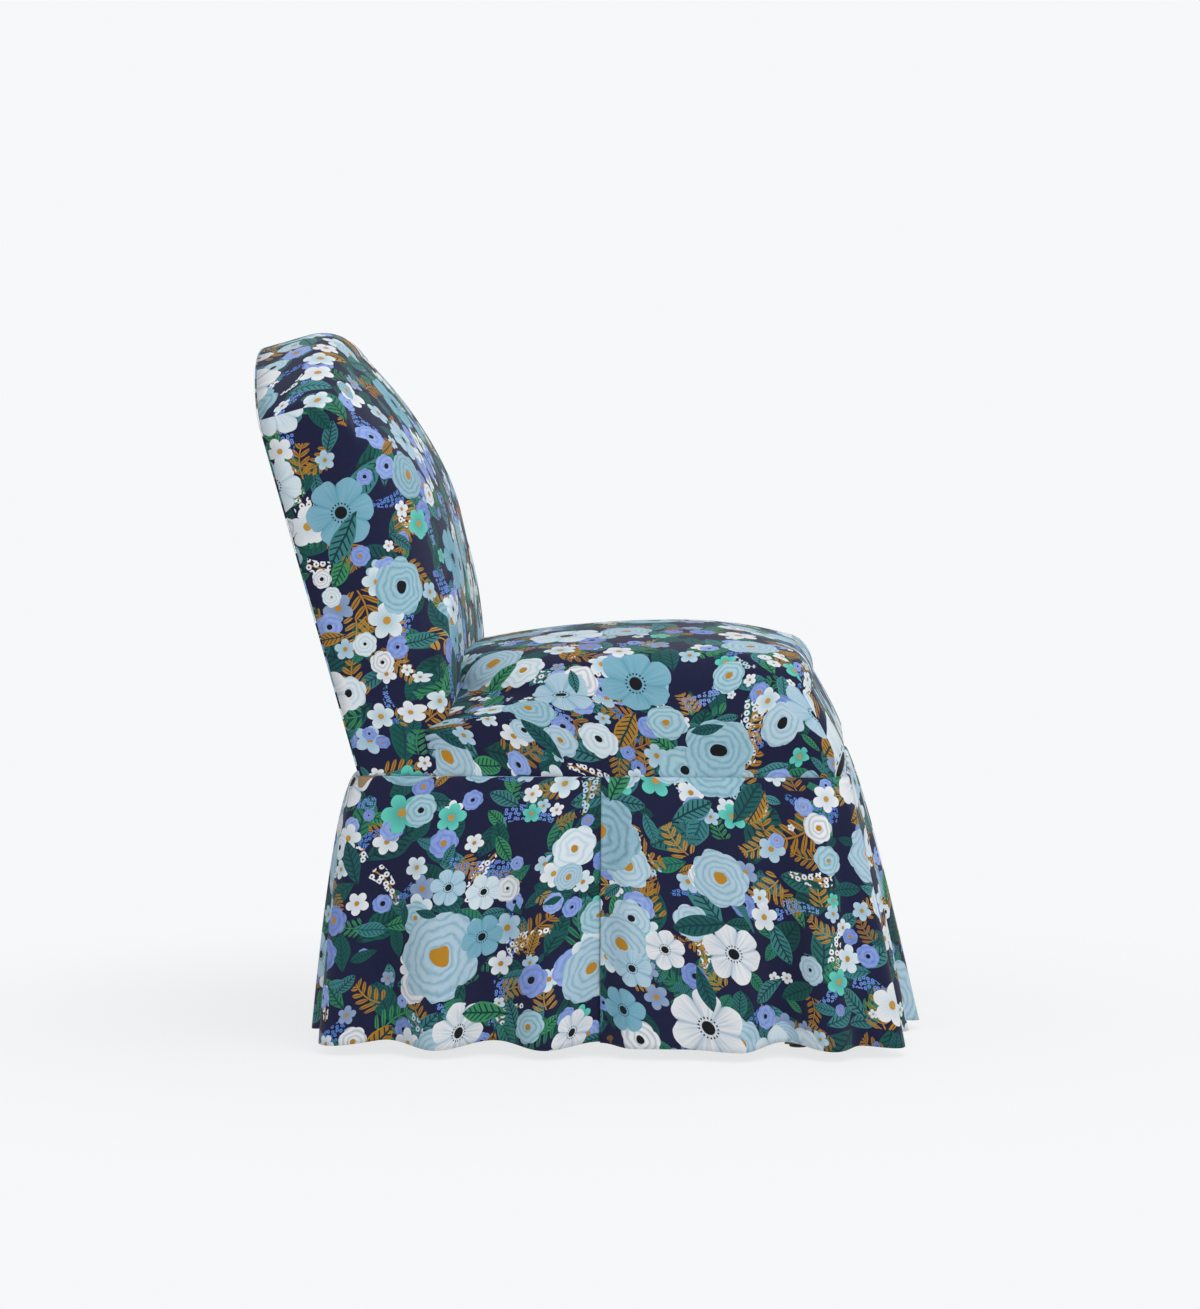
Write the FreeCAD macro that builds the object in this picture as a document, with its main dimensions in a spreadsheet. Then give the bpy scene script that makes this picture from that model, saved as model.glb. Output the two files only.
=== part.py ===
"""Skirted slipper chair: raked upholstered back, crowned tight seat and a gathered skirt to the floor.

Millimetres, front towards -Y, +Z up, origin on the floor in the middle of the overall box.
The back is laid out in its own leaning frame: x across, v up the rear face, w forwards from it.
"""
import FreeCAD, Part
import Sketcher
import math
import os
import re

os.makedirs("parts", exist_ok=True)
doc = FreeCAD.newDocument("slipper_chair")
Vector = FreeCAD.Vector

# Driving dimensions, each with its own cell in the sheet.
SIZES = {
    # outer form of the seat box and its cushion
    "chair_width": 520.0,
    "seat_depth": 565.0,
    "rear_face": 257.0,
    "seam_height": 320.0,
    "box_above_seam": 25.0,
    "box_tall": 100.0,
    "edge_above_box": 73.0,
    "front_lean": 37.0,
    "side_swell": 6.0,
    "tail_round": 150.0,
    "seat_corner": 45.0,
    "rear_corner": 6.0,
    "seat_round": 42.0,
    "seat_round_rise": 50.0,
    "crest_above_edge": 72.0,
    "crest_ahead": 365.0,
    "seat_tail": 92.0,
    # outer form of the back, along its rake
    "rake": 15.75,
    "back_height": 522.0,
    "back_tail": 90.0,
    "arch_rise": 93.0,
    "shoulder_round": 30.0,
    "foot_round": 40.0,
    "flat_side_up": 20.0,
    "round_side_up": 120.0,
    "top_flat": 31.0,
    "side_flat": 54.0,
    "edge_widening": 0.0536,
    "top_round": 55.0,
    "side_round": 75.0,
    "side_joint": 86.0,
    "back_crest": 153.0,
    "crest_up": 250.0,
    # layers of cloth and padding
    "cover_thick": 2.0,
    "wadding_thick": 8.0,
    "lay_gap": 0.3,
    # hardwood frame
    "rail_thick": 24.0,
    "post_wide": 28.0,
    "post_deep": 50.0,
    "panel_gap": 3.0,
    "post_foot": 76.0,
    "post_top": 385.0,
    "top_rail_thick": 32.0,
    "frame_cover": 24.0,
    "cross_tall": 60.0,
    "lower_cross_up": 45.0,
    "middle_cross_up": 230.0,
    "block_side": 70.0,
    "block_tall": 40.0,
    "block_chamfer": 28.0,
    # legs and their fixings
    "leg_top": 44.0,
    "leg_foot": 32.0,
    "leg_inset": 28.0,
    "plate_side": 58.0,
    "plate_thick": 3.0,
    "glide_radius": 11.0,
    "glide_tall": 5.0,
    "glide_round": 1.5,
    "nail_radius": 1.5,
    "nail_long": 16.0,
    "nail_root": 1.0,
    "bolt_radius": 4.0,
    "bolt_down": 30.0,
    "bolt_up": 34.0,
    "screw_radius": 2.0,
    "screw_head": 3.8,
    "screw_head_deep": 3.0,
    "screw_long": 18.0,
    "screw_spread": 21.0,
    "nut_radius": 7.5,
    "nut_tall": 7.0,
    "bolt_head": 8.0,
    "bolt_head_deep": 4.0,
    "post_bolt_ahead": 38.0,
    "post_bolt_pitch": 31.0,
    "dowel_radius": 5.0,
    "dowel_long": 60.0,
    "dowel_pitch": 16.0,
    "rail_screw_long": 66.0,
    "bolt_end": 2.0,
    # suspension of the seat and of the back
    "spring_wire": 3.8,
    "spring_half": 20.0,
    "spring_pitch": 80.0,
    "spring_end": 12.0,
    "clip_wide": 18.0,
    "clip_deep": 14.0,
    "clip_sheet": 1.2,
    "insulator_thick": 4.0,
    "insulator_edge": 12.0,
    "web_wide": 50.0,
    "web_thick": 1.5,
    "web_across_pitch": 95.0,
    "web_up_pitch": 115.0,
    "web_inset": 4.0,
    "hessian_thick": 1.0,
    "dust_thick": 1.0,
    # skirt
    "hem_clear": 12.0,
    "flare_front": 91.0,
    "flare_side": 70.0,
    "flare_rear": 72.0,
    "fold_depth": 22.0,
    "gather_depth": 1.5,
    "skirt_thick": 1.6,
    "lining_thick": 0.7,
    "tack_thick": 1.2,
    "tack_tall": 13.0,
}
SPRINGS = 5
STRAPS_ACROSS = 4
STRAPS_UP = 3
SPRING_RUNS = 19
FOLDS_PER_SIDE = 5

sheet = doc.addObject("Spreadsheet::Sheet", "Sizes")
for row, (alias, value) in enumerate(SIZES.items(), start=1):
    sheet.set("A%d" % row, alias)
    sheet.set("B%d" % row, str(value))
    sheet.setAlias("B%d" % row, alias)
doc.recompute()


def size(alias):
    """The number that the sheet holds under this alias."""
    return float(sheet.get(alias))


def formula(text):
    """The expression text with every driving dimension read from the sheet."""
    return re.sub(r"[a-z_]+", lambda word: "Sizes." + word[0] if word[0] in SIZES else word[0], text)


# Places that several pieces share.
RAIL_OUT = "(chair_width / 2 - cover_thick - lay_gap)"
RAIL_IN = "(%s - rail_thick)" % RAIL_OUT
POST_IN = "(%s - post_wide)" % RAIL_IN
FRONT_OUT = "(rear_face - seat_depth + cover_thick + lay_gap)"
FRONT_IN = "(%s + rail_thick)" % FRONT_OUT
REAR_OUT = "(rear_face - cover_thick - lay_gap)"
REAR_IN = "(%s - rail_thick)" % REAR_OUT
BOX_BOTTOM = "(seam_height + box_above_seam - box_tall)"
FRAME_FRONT = "(panel_gap + post_deep)"

# Levels that several pieces share.
seam = size("seam_height")
box_top = seam + size("box_above_seam")
box_bottom = box_top - size("box_tall")
edge_level = box_top + size("edge_above_box")
crest_level = edge_level + size("crest_above_edge")

nodes = []


def keep(obj, label):
    """Count this object as a sub-part under its own name."""
    obj.Label = label
    nodes.append(obj)
    return obj


def place(obj, at, turn=None, leaning=False):
    """Bind the base of an object to formulas, in the chair's frame or in the back's leaning one."""
    across, rearwards, up = at
    rotation = turn if turn else FreeCAD.Rotation()
    obj.Placement = FreeCAD.Placement(Vector(), rotation)
    if leaning:
        if turn is None:
            # The turn's angle is bound to the sheet just below; this only sets its axis.
            obj.Placement = FreeCAD.Placement(Vector(), FreeCAD.Rotation(Vector(-1, 0, 0), size("rake")))
            obj.setExpression("Placement.Rotation.Angle", formula("rake"))
        angle = "rake * 1deg"
        y = "rear_face + (%s) * cos(%s) + (%s) * sin(%s)" % (rearwards, angle, up, angle)
        z = "seam_height - (%s) * sin(%s) + (%s) * cos(%s)" % (rearwards, angle, up, angle)
    else:
        y, z = rearwards, up
    obj.setExpression("Placement.Base.x", formula(across))
    obj.setExpression("Placement.Base.y", formula(y))
    obj.setExpression("Placement.Base.z", formula(z))


def box(name, sides, at, leaning=False):
    """A board: length along x, width along y and height along z from its lowest corner."""
    obj = doc.addObject("Part::Box", name)
    for prop, text in zip(("Length", "Width", "Height"), sides):
        obj.setExpression(prop, formula(text))
    place(obj, at, leaning=leaning)
    return obj


ALONG_X = FreeCAD.Rotation(Vector(0, 1, 0), 90)
AGAINST_X = FreeCAD.Rotation(Vector(0, 1, 0), -90)


def rod(name, radius, length, at, turn=None, leaning=False):
    """A round bar from its base, along z or turned."""
    obj = doc.addObject("Part::Cylinder", name)
    obj.setExpression("Radius", formula(radius))
    obj.setExpression("Height", formula(length))
    place(obj, at, turn, leaning)
    return obj


def cone(name, base, tip, length, at, turn=None, leaning=False):
    """A countersunk head from its wide base to its tip radius."""
    obj = doc.addObject("Part::Cone", name)
    obj.setExpression("Radius1", formula(base))
    obj.setExpression("Radius2", formula(tip))
    obj.setExpression("Height", formula(length))
    place(obj, at, turn, leaning)
    return obj


def fuse(name, shapes):
    """One solid from several that overlap."""
    obj = doc.addObject("Part::MultiFuse", name)
    obj.Shapes = shapes
    return obj


def group(name, members):
    """Several separate solids in one sub-part."""
    obj = doc.addObject("Part::Compound", name)
    obj.Links = members
    return obj


def cut(name, base, tool):
    """The base with the tool's room taken out."""
    obj = doc.addObject("Part::Cut", name)
    obj.Base = base
    obj.Tool = tool
    return obj


def common(name, base, tool):
    """What the base and the tool share."""
    obj = doc.addObject("Part::Common", name)
    obj.Base = base
    obj.Tool = tool
    return obj


def solid(name, shape):
    """A form worked out from the sheet's sizes, held as a feature of its own."""
    obj = doc.addObject("Part::Feature", name)
    obj.Shape = shape
    obj.Placement = shape.Placement
    return obj


# Outlines: plan of the seat box and face of the back.

def line(start, end):
    """A straight edge."""
    return Part.LineSegment(start, end).toShape()


def arc(start, through, end):
    """A round edge through three points."""
    return Part.Arc(start, through, end).toShape()


def quarter(centre, radius, start_angle):
    """A quarter circle in plan from its start angle, as start, middle and end points."""
    angles = [math.radians(start_angle + step) for step in (0, 45, 90)]
    return [centre + Vector(radius * math.cos(a), radius * math.sin(a), 0) for a in angles]


def plan_wire(front, rear, half, front_corner, rear_corner, height):
    """Closed plan outline at one height: four straight sides and four quarter corners."""
    corners = [
        quarter(Vector(half - rear_corner, rear - rear_corner, height), rear_corner, 0),
        quarter(Vector(-half + rear_corner, rear - rear_corner, height), rear_corner, 90),
        quarter(Vector(-half + front_corner, front + front_corner, height), front_corner, 180),
        quarter(Vector(half - front_corner, front + front_corner, height), front_corner, 270),
    ]
    edges = []
    for index, corner in enumerate(corners):
        edges.append(arc(*corner))
        edges.append(line(corner[2], corners[(index + 1) % 4][0]))
    return Part.Wire(edges)


# Shares of the full outline at which the crowned faces are drawn, and the angles of the rounded edges.
LEANED_AT_MIDDLE = 0.45
SWELL_AT_EDGE = 0.4
CORNER_SOFTENING = 0.78
SEAT_CROWN_STEPS = (0.88, 0.74, 0.58, 0.4, 0.2, 0.05)
ROUND_ANGLES = (18, 36, 54, 70)
CROWN_POWER = 2.0


def seat_wires(inset, bottom):
    """Level outlines of the seat form from its foot to its crest, drawn in by inset all round."""
    half = size("chair_width") / 2 - inset
    front = size("rear_face") - size("seat_depth") + inset
    rear = size("rear_face") - inset
    corner = size("seat_corner") - inset / 2
    tail = max(size("rear_corner") - inset / 2, 1.0)
    lean, swell, drop = size("front_lean"), size("side_swell"), size("seat_tail")
    middle = (box_top + edge_level) / 2
    wires = []
    for height in (bottom, box_top):
        wires.append((height, front, rear, half, corner, tail))
    round_tail = size("tail_round")
    half_leaned = front + lean * LEANED_AT_MIDDLE
    wires.append((middle, half_leaned, rear - drop / 2, half + swell, corner, tail + round_tail / 2))
    edge_half = half + swell * SWELL_AT_EDGE
    wires.append((edge_level, front + lean, rear - drop, edge_half, corner, tail + round_tail))
    across, rise = size("seat_round") - inset, size("seat_round_rise") - inset
    for angle in ROUND_ANGLES:
        inwards = across * (1 - math.cos(math.radians(angle)))
        upwards = rise * math.sin(math.radians(angle))
        wires.append((edge_level + upwards, front + lean + inwards, rear - drop - inwards,
                      edge_half - inwards, corner + inwards, tail + round_tail + inwards))
    shoulder = wires[-1]
    middle_y = size("rear_face") - size("crest_ahead")

    def soften(radius, share):
        roundest = shoulder[3] * CORNER_SOFTENING
        return share * (radius + (roundest - radius) * (1 - share))

    for share in SEAT_CROWN_STEPS:
        height = shoulder[0] + (crest_level - inset - shoulder[0]) * (1 - share ** CROWN_POWER)
        wires.append((height, middle_y + (shoulder[1] - middle_y) * share,
                      middle_y + (shoulder[2] - middle_y) * share,
                      shoulder[3] * share, soften(shoulder[4], share), soften(shoulder[5], share)))
    return [plan_wire(f, r, h, c, t, z) for z, f, r, h, c, t in wires]


def seat_form(inset, bottom):
    """Solid of the seat, smooth from its foot over the rounded edge to its crest."""
    return Part.makeLoft(seat_wires(inset, bottom), True, True)


def leaning_point(across, up, ahead):
    """A point of the back's frame in the chair's frame."""
    lean = math.radians(size("rake"))
    y = size("rear_face") - ahead * math.cos(lean) + up * math.sin(lean)
    z = seam + ahead * math.sin(lean) + up * math.cos(lean)
    return Vector(across, y, z)


# How the back's outline follows its rounded edge at the foot, and where its own rounding ends.
LOW_SIDE_DRAWN_IN = 0.1
FOOT_DRAWN_IN = 0.2
FOOT_SOFTENING = 30.0
SHOULDER_SOFTENING = 0.5
SHARPEST = 2.0
# Angles of the top's and the sides' rounded edges, how fast the crown falls to each, and the shares of
# the outline's width and height at which the crown is drawn.
TOP_ANGLES = (0, 25, 50, 75)
SIDE_ANGLES = (19, 38, 56)
TOP_POWER = 2.0
SIDE_POWER = 4.0
WIDTH_STEPS = (0.95, 0.88, 0.78, 0.62)
HEIGHT_STEPS = (0.19, 0.08)


def back_wire(inset, ahead, slope, side_in=0.0, width_share=1.0, top_in=0.0, height_share=1.0):
    """Closed face outline of the back in one plane: foot, sides, shoulders and arched top.

    The plane stands ahead of the rear face by ahead plus slope times the height. side_in and top_in
    bring the outline in for the rounded edges, and the shares shrink it towards the crest.
    """
    side = size("chair_width") / 2 - inset
    top = size("back_height") - inset - top_in
    rise = size("arch_rise")
    full = size("chair_width") / 2
    radius = (full ** 2 + rise ** 2) / (2 * rise) - inset - top_in
    narrow = side - side_in
    shoulder = max(size("shoulder_round") - inset, SHARPEST) + side * SHOULDER_SOFTENING * (1 - height_share)
    centre = top - radius
    pivot = math.sqrt((radius - shoulder) ** 2 - (narrow - shoulder) ** 2)
    shoulder_up = centre + pivot
    reach = radius / (radius - shoulder)
    tangent = ((narrow - shoulder) * reach, centre + pivot * reach)
    end = math.atan2(pivot, narrow - shoulder)
    bend = end / 2
    through = (narrow - shoulder + shoulder * math.cos(bend), shoulder_up + shoulder * math.sin(bend))
    crest_angle = (end + math.pi / 2) / 2
    over = (radius * math.cos(crest_angle), centre + radius * math.sin(crest_angle))
    foot = -size("back_tail") + top_in * FOOT_DRAWN_IN
    foot_round = size("foot_round") + top_in / 2 + FOOT_SOFTENING * (1 - height_share)
    low = side - side_in * LOW_SIDE_DRAWN_IN
    knee, thigh = size("flat_side_up"), size("round_side_up")
    toe = foot_round * (1 - math.sqrt(0.5))
    right = [(low - foot_round, foot), (low - toe, foot + toe), (low, foot + foot_round), (low, knee),
             (narrow, thigh), (narrow, shoulder_up), through, tangent, over, (0.0, top)]
    middle = size("crest_up")

    def point(across, up):
        across, up = across * width_share, middle + (up - middle) * height_share
        return leaning_point(across, up, ahead + slope * up)

    r = [point(u, v) for u, v in right]
    l = [point(-u, v) for u, v in right]
    edges = [line(l[0], r[0]), arc(r[0], r[1], r[2]), line(r[2], r[3]), line(r[3], r[4]),
             line(r[4], r[5]), arc(r[5], r[6], r[7]), arc(r[7], r[8], r[9]),
             arc(l[9], l[8], l[7]), arc(l[7], l[6], l[5]), line(l[5], l[4]),
             line(l[4], l[3]), line(l[3], l[2]), arc(l[2], l[1], l[0])]
    return Part.Wire(edges)


def rounded_edge(ahead, flat, radius, last_angle, crest, power):
    """How far an outline's edge has come in at a plane, and its share of that on the crown beyond."""
    last = math.radians(last_angle)
    end = flat + radius * math.sin(last)
    if ahead > end:
        share = max(1 - (ahead - end) / (crest - end), 0.0) ** (1 / power)
        return radius * (1 - math.cos(last)), share
    angle = math.asin(max(ahead - flat, 0.0) / radius)
    return radius * (1 - math.cos(angle)), 1.0


def back_form(inset, rear):
    """Solid of the back from a plane near its rear face to its crest, drawn in by inset.

    Its top rounds over early and steeply, its sides later and more gently.
    """
    top = (size("top_flat"), size("top_round") - inset, TOP_ANGLES[-1], size("back_crest") - inset, TOP_POWER)
    side = (size("side_flat"), size("side_round") - inset, SIDE_ANGLES[-1], top[3], SIDE_POWER)
    planes = [top[0] + top[1] * math.sin(math.radians(angle)) for angle in TOP_ANGLES]
    planes += [side[0] + side[1] * math.sin(math.radians(angle)) for angle in SIDE_ANGLES]
    ends = [edge[0] + edge[1] * math.sin(math.radians(edge[2])) for edge in (top, side)]
    planes += [ends[1] + (side[3] - ends[1]) * (1 - share ** SIDE_POWER) for share in WIDTH_STEPS]
    planes += [ends[0] + (top[3] - ends[0]) * (1 - share ** TOP_POWER) for share in HEIGHT_STEPS]
    wires = [back_wire(inset, rear, 0.0)]
    for ahead in sorted(planes):
        side_in, width_share = rounded_edge(ahead, *side)
        top_in, height_share = rounded_edge(ahead, *top)
        wires.append(back_wire(inset, ahead, size("edge_widening"), side_in, width_share, top_in,
                               height_share))
    return Part.makeLoft(wires, True, True)


def behind_joint():
    """Everything behind the line on the back's sides at which the seat's sides stop."""
    foot, top = -2 * size("back_tail"), size("back_height")
    slope = size("edge_widening")
    ahead = size("side_joint") + size("lay_gap")
    wide = size("chair_width")
    profile = [leaning_point(-wide, foot, -wide), leaning_point(-wide, foot, ahead + slope * foot),
               leaning_point(-wide, top, ahead + slope * top), leaning_point(-wide, top, -wide)]
    return Part.Face(Part.makePolygon(profile + profile[:1])).extrude(Vector(2 * wide, 0, 0))


def slab(low, high):
    """A box from its lowest to its highest corner."""
    return Part.makeBox(high[0] - low[0], high[1] - low[1], high[2] - low[2], Vector(*low))


def plan_prism(inset, bottom, top):
    """The seat box's plan, drawn in by inset, between two heights."""
    corner, tail = size("seat_corner") - inset / 2, max(size("rear_corner") - inset / 2, 1.0)
    wire = plan_wire(size("rear_face") - size("seat_depth") + inset, size("rear_face") - inset,
                     size("chair_width") / 2 - inset, corner, tail, bottom)
    return Part.Face(wire).extrude(Vector(0, 0, top - bottom))


# Layers of cloth and padding from the outside in, and the levels over the springs.
cover = size("cover_thick")
gap = size("lay_gap")
under_cover = cover + gap
under_wadding = under_cover + size("wadding_thick")
in_foam = under_wadding + gap
spring_plane = box_top + size("clip_sheet") + size("spring_wire") / 2
insulator_bottom = box_top + 2 * size("clip_sheet") + size("spring_wire") + gap
insulator_top = insulator_bottom + size("insulator_thick")
deck = insulator_top + gap
# How far a cutting form reaches past what it cuts, and past the whole chair.
PAST = 10.0
WIDE = 1000.0

# Springs: sinuous wire laid flat from the front rail to the rear rail, five in one node each.
front_end = size("rear_face") - size("seat_depth") + under_cover + size("spring_end")
rear_end = size("rear_face") - under_cover - size("spring_end")
run_pitch = (rear_end - front_end) / (SPRING_RUNS - 1)


def spring_shape(across):
    """Flat zigzag wire: straight runs across the seat joined by half turns."""
    turn = run_pitch / 2
    straight = size("spring_half")
    edges = []
    for run in range(SPRING_RUNS):
        y = front_end + run * run_pitch
        hand = 1 if run % 2 == 0 else -1
        start = Vector(across - hand * straight, y, spring_plane)
        end = Vector(across + hand * straight, y, spring_plane)
        edges.append(line(start, end))
        if run < SPRING_RUNS - 1:
            turned = end + Vector(0, run_pitch, 0)
            edges.append(arc(end, end + Vector(hand * turn, turn, 0), turned))
    path = Part.Wire(edges)
    first = Vector(across - straight, front_end, spring_plane)
    ring = Part.Wire(Part.makeCircle(size("spring_wire") / 2, first, Vector(1, 0, 0)))
    return path.makePipeShell([ring], True, False)


for number in range(SPRINGS):
    across = (number - (SPRINGS - 1) / 2) * size("spring_pitch")
    keep(solid("Spring%d" % (number + 1), spring_shape(across)), "seat_spring_%d" % (number + 1))


def clip_shape(across, y, opens):
    """Folded steel clip on a rail: a U lying on its side, open towards the seat."""
    wide, deep, skin = size("clip_wide"), size("clip_deep"), size("clip_sheet")
    inside_bottom = box_top + skin
    inside_top = inside_bottom + size("spring_wire")
    body = slab((across - wide / 2, y - deep / 2, box_top),
                (across + wide / 2, y + deep / 2, inside_top + skin))
    start = y - deep / 2 + skin if opens > 0 else y - deep / 2 - PAST
    end = y + deep / 2 + PAST if opens > 0 else y + deep / 2 - skin
    slot = slab((across - wide / 2 - PAST, start, inside_bottom), (across + wide / 2 + PAST, end, inside_top))
    return body.cut(slot)


clips = []
for number in range(SPRINGS):
    across = (number - (SPRINGS - 1) / 2) * size("spring_pitch")
    clips.append(clip_shape(across, front_end, 1))
    clips.append(clip_shape(across, rear_end, -1))
keep(solid("Clips", Part.makeCompound(clips)), "spring_clips")

# Hardwood seat box: rails cut to the rounded plan, posts between side rails and rear rail.
rail_plan = solid("RailPlan", plan_prism(under_cover, box_bottom, box_top))
front_board = box("FrontBoard", ("2 * " + RAIL_OUT, "rail_thick", "box_tall"),
                  ("-" + RAIL_OUT, FRONT_OUT, BOX_BOTTOM))
keep(common("FrontRail", front_board, rail_plan), "front_rail")

dowels = []
rail_screws = []
post_bolts = []
for side, hand in (("left", 1), ("right", -1)):
    low_x = RAIL_IN if hand > 0 else "-" + RAIL_OUT
    board = box("SideBoard_" + side, ("rail_thick", "%s - %s" % (REAR_OUT, FRONT_IN), "box_tall"),
                (low_x, FRONT_IN, BOX_BOTTOM))
    shaped = common("SideShaped_" + side, board, rail_plan)
    post_x = POST_IN if hand > 0 else "-" + RAIL_IN
    post = box("Post_" + side, ("post_wide", "post_deep", "post_foot + post_top"),
               (post_x, "-" + FRAME_FRONT, "-post_foot"), leaning=True)
    inwards = AGAINST_X if hand > 0 else ALONG_X
    outer = RAIL_OUT if hand > 0 else "-" + RAIL_OUT
    bolts = []
    for step in range(2):
        tag = "%s_%d" % (side, step)
        at = (outer, "-post_bolt_ahead", "-%d * post_bolt_pitch" % step)
        shank = rod("BoltShank_" + tag, "bolt_radius", "rail_thick + post_wide + nut_tall + bolt_end", at,
                    inwards, True)
        head = cone("BoltHead_" + tag, "bolt_head", "bolt_radius", "bolt_head_deep", at, inwards, True)
        nut = rod("BoltNut_" + tag, "nut_radius", "nut_tall",
                  (POST_IN if hand > 0 else "-" + POST_IN, at[1], at[2]), inwards, True)
        bolts.append(fuse("PostBolt_" + tag, [shank, head, nut]))
    post_bolts += bolts
    side_bolts = group("SideBolts_" + side, bolts)
    keep(cut("SideRail_" + side, shaped, side_bolts), side + "_rail")
    post_out = RAIL_IN if hand > 0 else "-" + RAIL_IN
    side_screws = []
    for tag, up in (("low", "lower_cross_up + cross_tall / 2"), ("mid", "middle_cross_up + cross_tall / 2")):
        at = (post_out, "rail_thick / 2 - " + FRAME_FRONT, up)
        name = "%s_%s" % (tag, side)
        shank = rod("CrossShank_" + name, "screw_radius", "rail_screw_long", at, inwards, True)
        head = cone("CrossHead_" + name, "screw_head", "screw_radius", "screw_head_deep", at, inwards, True)
        side_screws.append(fuse("CrossScrew_" + name, [shank, head]))
    rail_screws += side_screws
    side_dowels = []
    middle_x = "%s%s" % ("" if hand > 0 else "-", "(%s + post_wide / 2)" % POST_IN)
    for step in (-0.5, 0.5):
        rearwards = "top_rail_thick / 2 - %s + %s * dowel_pitch" % (FRAME_FRONT, step)
        side_dowels.append(rod("Dowel_%s_%d" % (side, int(step * 2 + 1)), "dowel_radius", "dowel_long",
                               (middle_x, rearwards, "post_top - dowel_long / 2"), None, True))
    dowels += side_dowels
    taken = group("PostHoles_" + side, bolts + side_screws + side_dowels)
    keep(cut("BackPost_" + side, post, taken), side + "_back_post")
keep(group("PostBolts", post_bolts), "post_bolts")
all_screws = keep(group("CrossScrews", rail_screws), "cross_rail_screws")
all_dowels = keep(group("Dowels", dowels), "top_rail_dowels")
rear_rail = box("RearRail", ("2 * " + POST_IN, "rail_thick", "box_tall"),
                ("-" + POST_IN, REAR_IN, BOX_BOTTOM))
keep(rear_rail, "rear_rail")
for label, up in (("lower_cross_rail", "lower_cross_up"), ("middle_cross_rail", "middle_cross_up")):
    board = box("Board_" + label, ("2 * " + POST_IN, "rail_thick", "cross_tall"),
                ("-" + POST_IN, "-" + FRAME_FRONT, up), leaning=True)
    keep(cut("Cut_" + label, board, all_screws), label)

# Arched top rail: a board on the post tops, its upper edge an arc under the back's arch.
body = doc.addObject("PartDesign::Body", "TopRailBody")
plane = [item for item in body.Origin.OriginFeatures if item.Role == "XZ_Plane"][0]
sketch = body.newObject("Sketcher::SketchObject", "TopRailFace")
sketch.AttachmentSupport = [(plane, "")]
sketch.MapMode = "FlatFace"
half = size("chair_width") / 2 - under_cover - size("rail_thick")
cover_arch = ((size("chair_width") / 2) ** 2 + size("arch_rise") ** 2) / (2 * size("arch_rise"))
arch_radius = cover_arch - size("frame_cover")
low = size("post_top")
arch_centre = size("back_height") - size("frame_cover") - arch_radius
high = arch_centre + math.sqrt(arch_radius ** 2 - half ** 2)
opening_angle = math.acos(half / arch_radius)
sketch.addGeometry(Part.LineSegment(Vector(-half, low, 0), Vector(half, low, 0)))
sketch.addGeometry(Part.LineSegment(Vector(half, low, 0), Vector(half, high, 0)))
sketch.addGeometry(Part.ArcOfCircle(Part.Circle(Vector(0, arch_centre, 0), Vector(0, 0, 1), arch_radius),
                                    opening_angle, math.pi - opening_angle))
sketch.addGeometry(Part.LineSegment(Vector(-half, high, 0), Vector(-half, low, 0)))
ends = ((0, 2, 1, 1), (1, 2, 2, 1), (2, 2, 3, 1), (3, 2, 0, 1))
for first, first_end, second, second_end in ends:
    sketch.addConstraint(Sketcher.Constraint("Coincident", first, first_end, second, second_end))
sketch.addConstraint(Sketcher.Constraint("Vertical", 1))
sketch.addConstraint(Sketcher.Constraint("Vertical", 3))
sketch.addConstraint(Sketcher.Constraint("Symmetric", 0, 1, 0, 2, -2))
sketch.addConstraint(Sketcher.Constraint("PointOnObject", 2, 3, -2))
bound = (("DistanceX", (0, 1, 0, 2), 2 * half, "span", "2 * " + RAIL_IN),
         ("DistanceY", (-1, 1, 0, 1), low, "seat_on_posts", "post_top"),
         ("Radius", (2,), arch_radius, "arch",
          "((chair_width / 2)^2 + arch_rise^2) / (2 * arch_rise) - frame_cover"),
         ("DistanceY", (-1, 1, 2, 3), arch_centre, "arch_centre",
          "back_height - ((chair_width / 2)^2 + arch_rise^2) / (2 * arch_rise)"))
for kind, places, value, name, text in bound:
    index = sketch.addConstraint(Sketcher.Constraint(kind, *places, value))
    sketch.renameConstraint(index, name)
    sketch.setExpression("Constraints." + name, formula(text))
pad = body.newObject("PartDesign::Pad", "TopRailPad")
pad.Profile = sketch
pad.setExpression("Length", formula("top_rail_thick"))
place(body, ("0", "top_rail_thick - " + FRAME_FRONT, "0"), leaning=True)
doc.recompute()
top_rail = keep(cut("TopRail", body, all_dowels), "top_rail")

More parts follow.
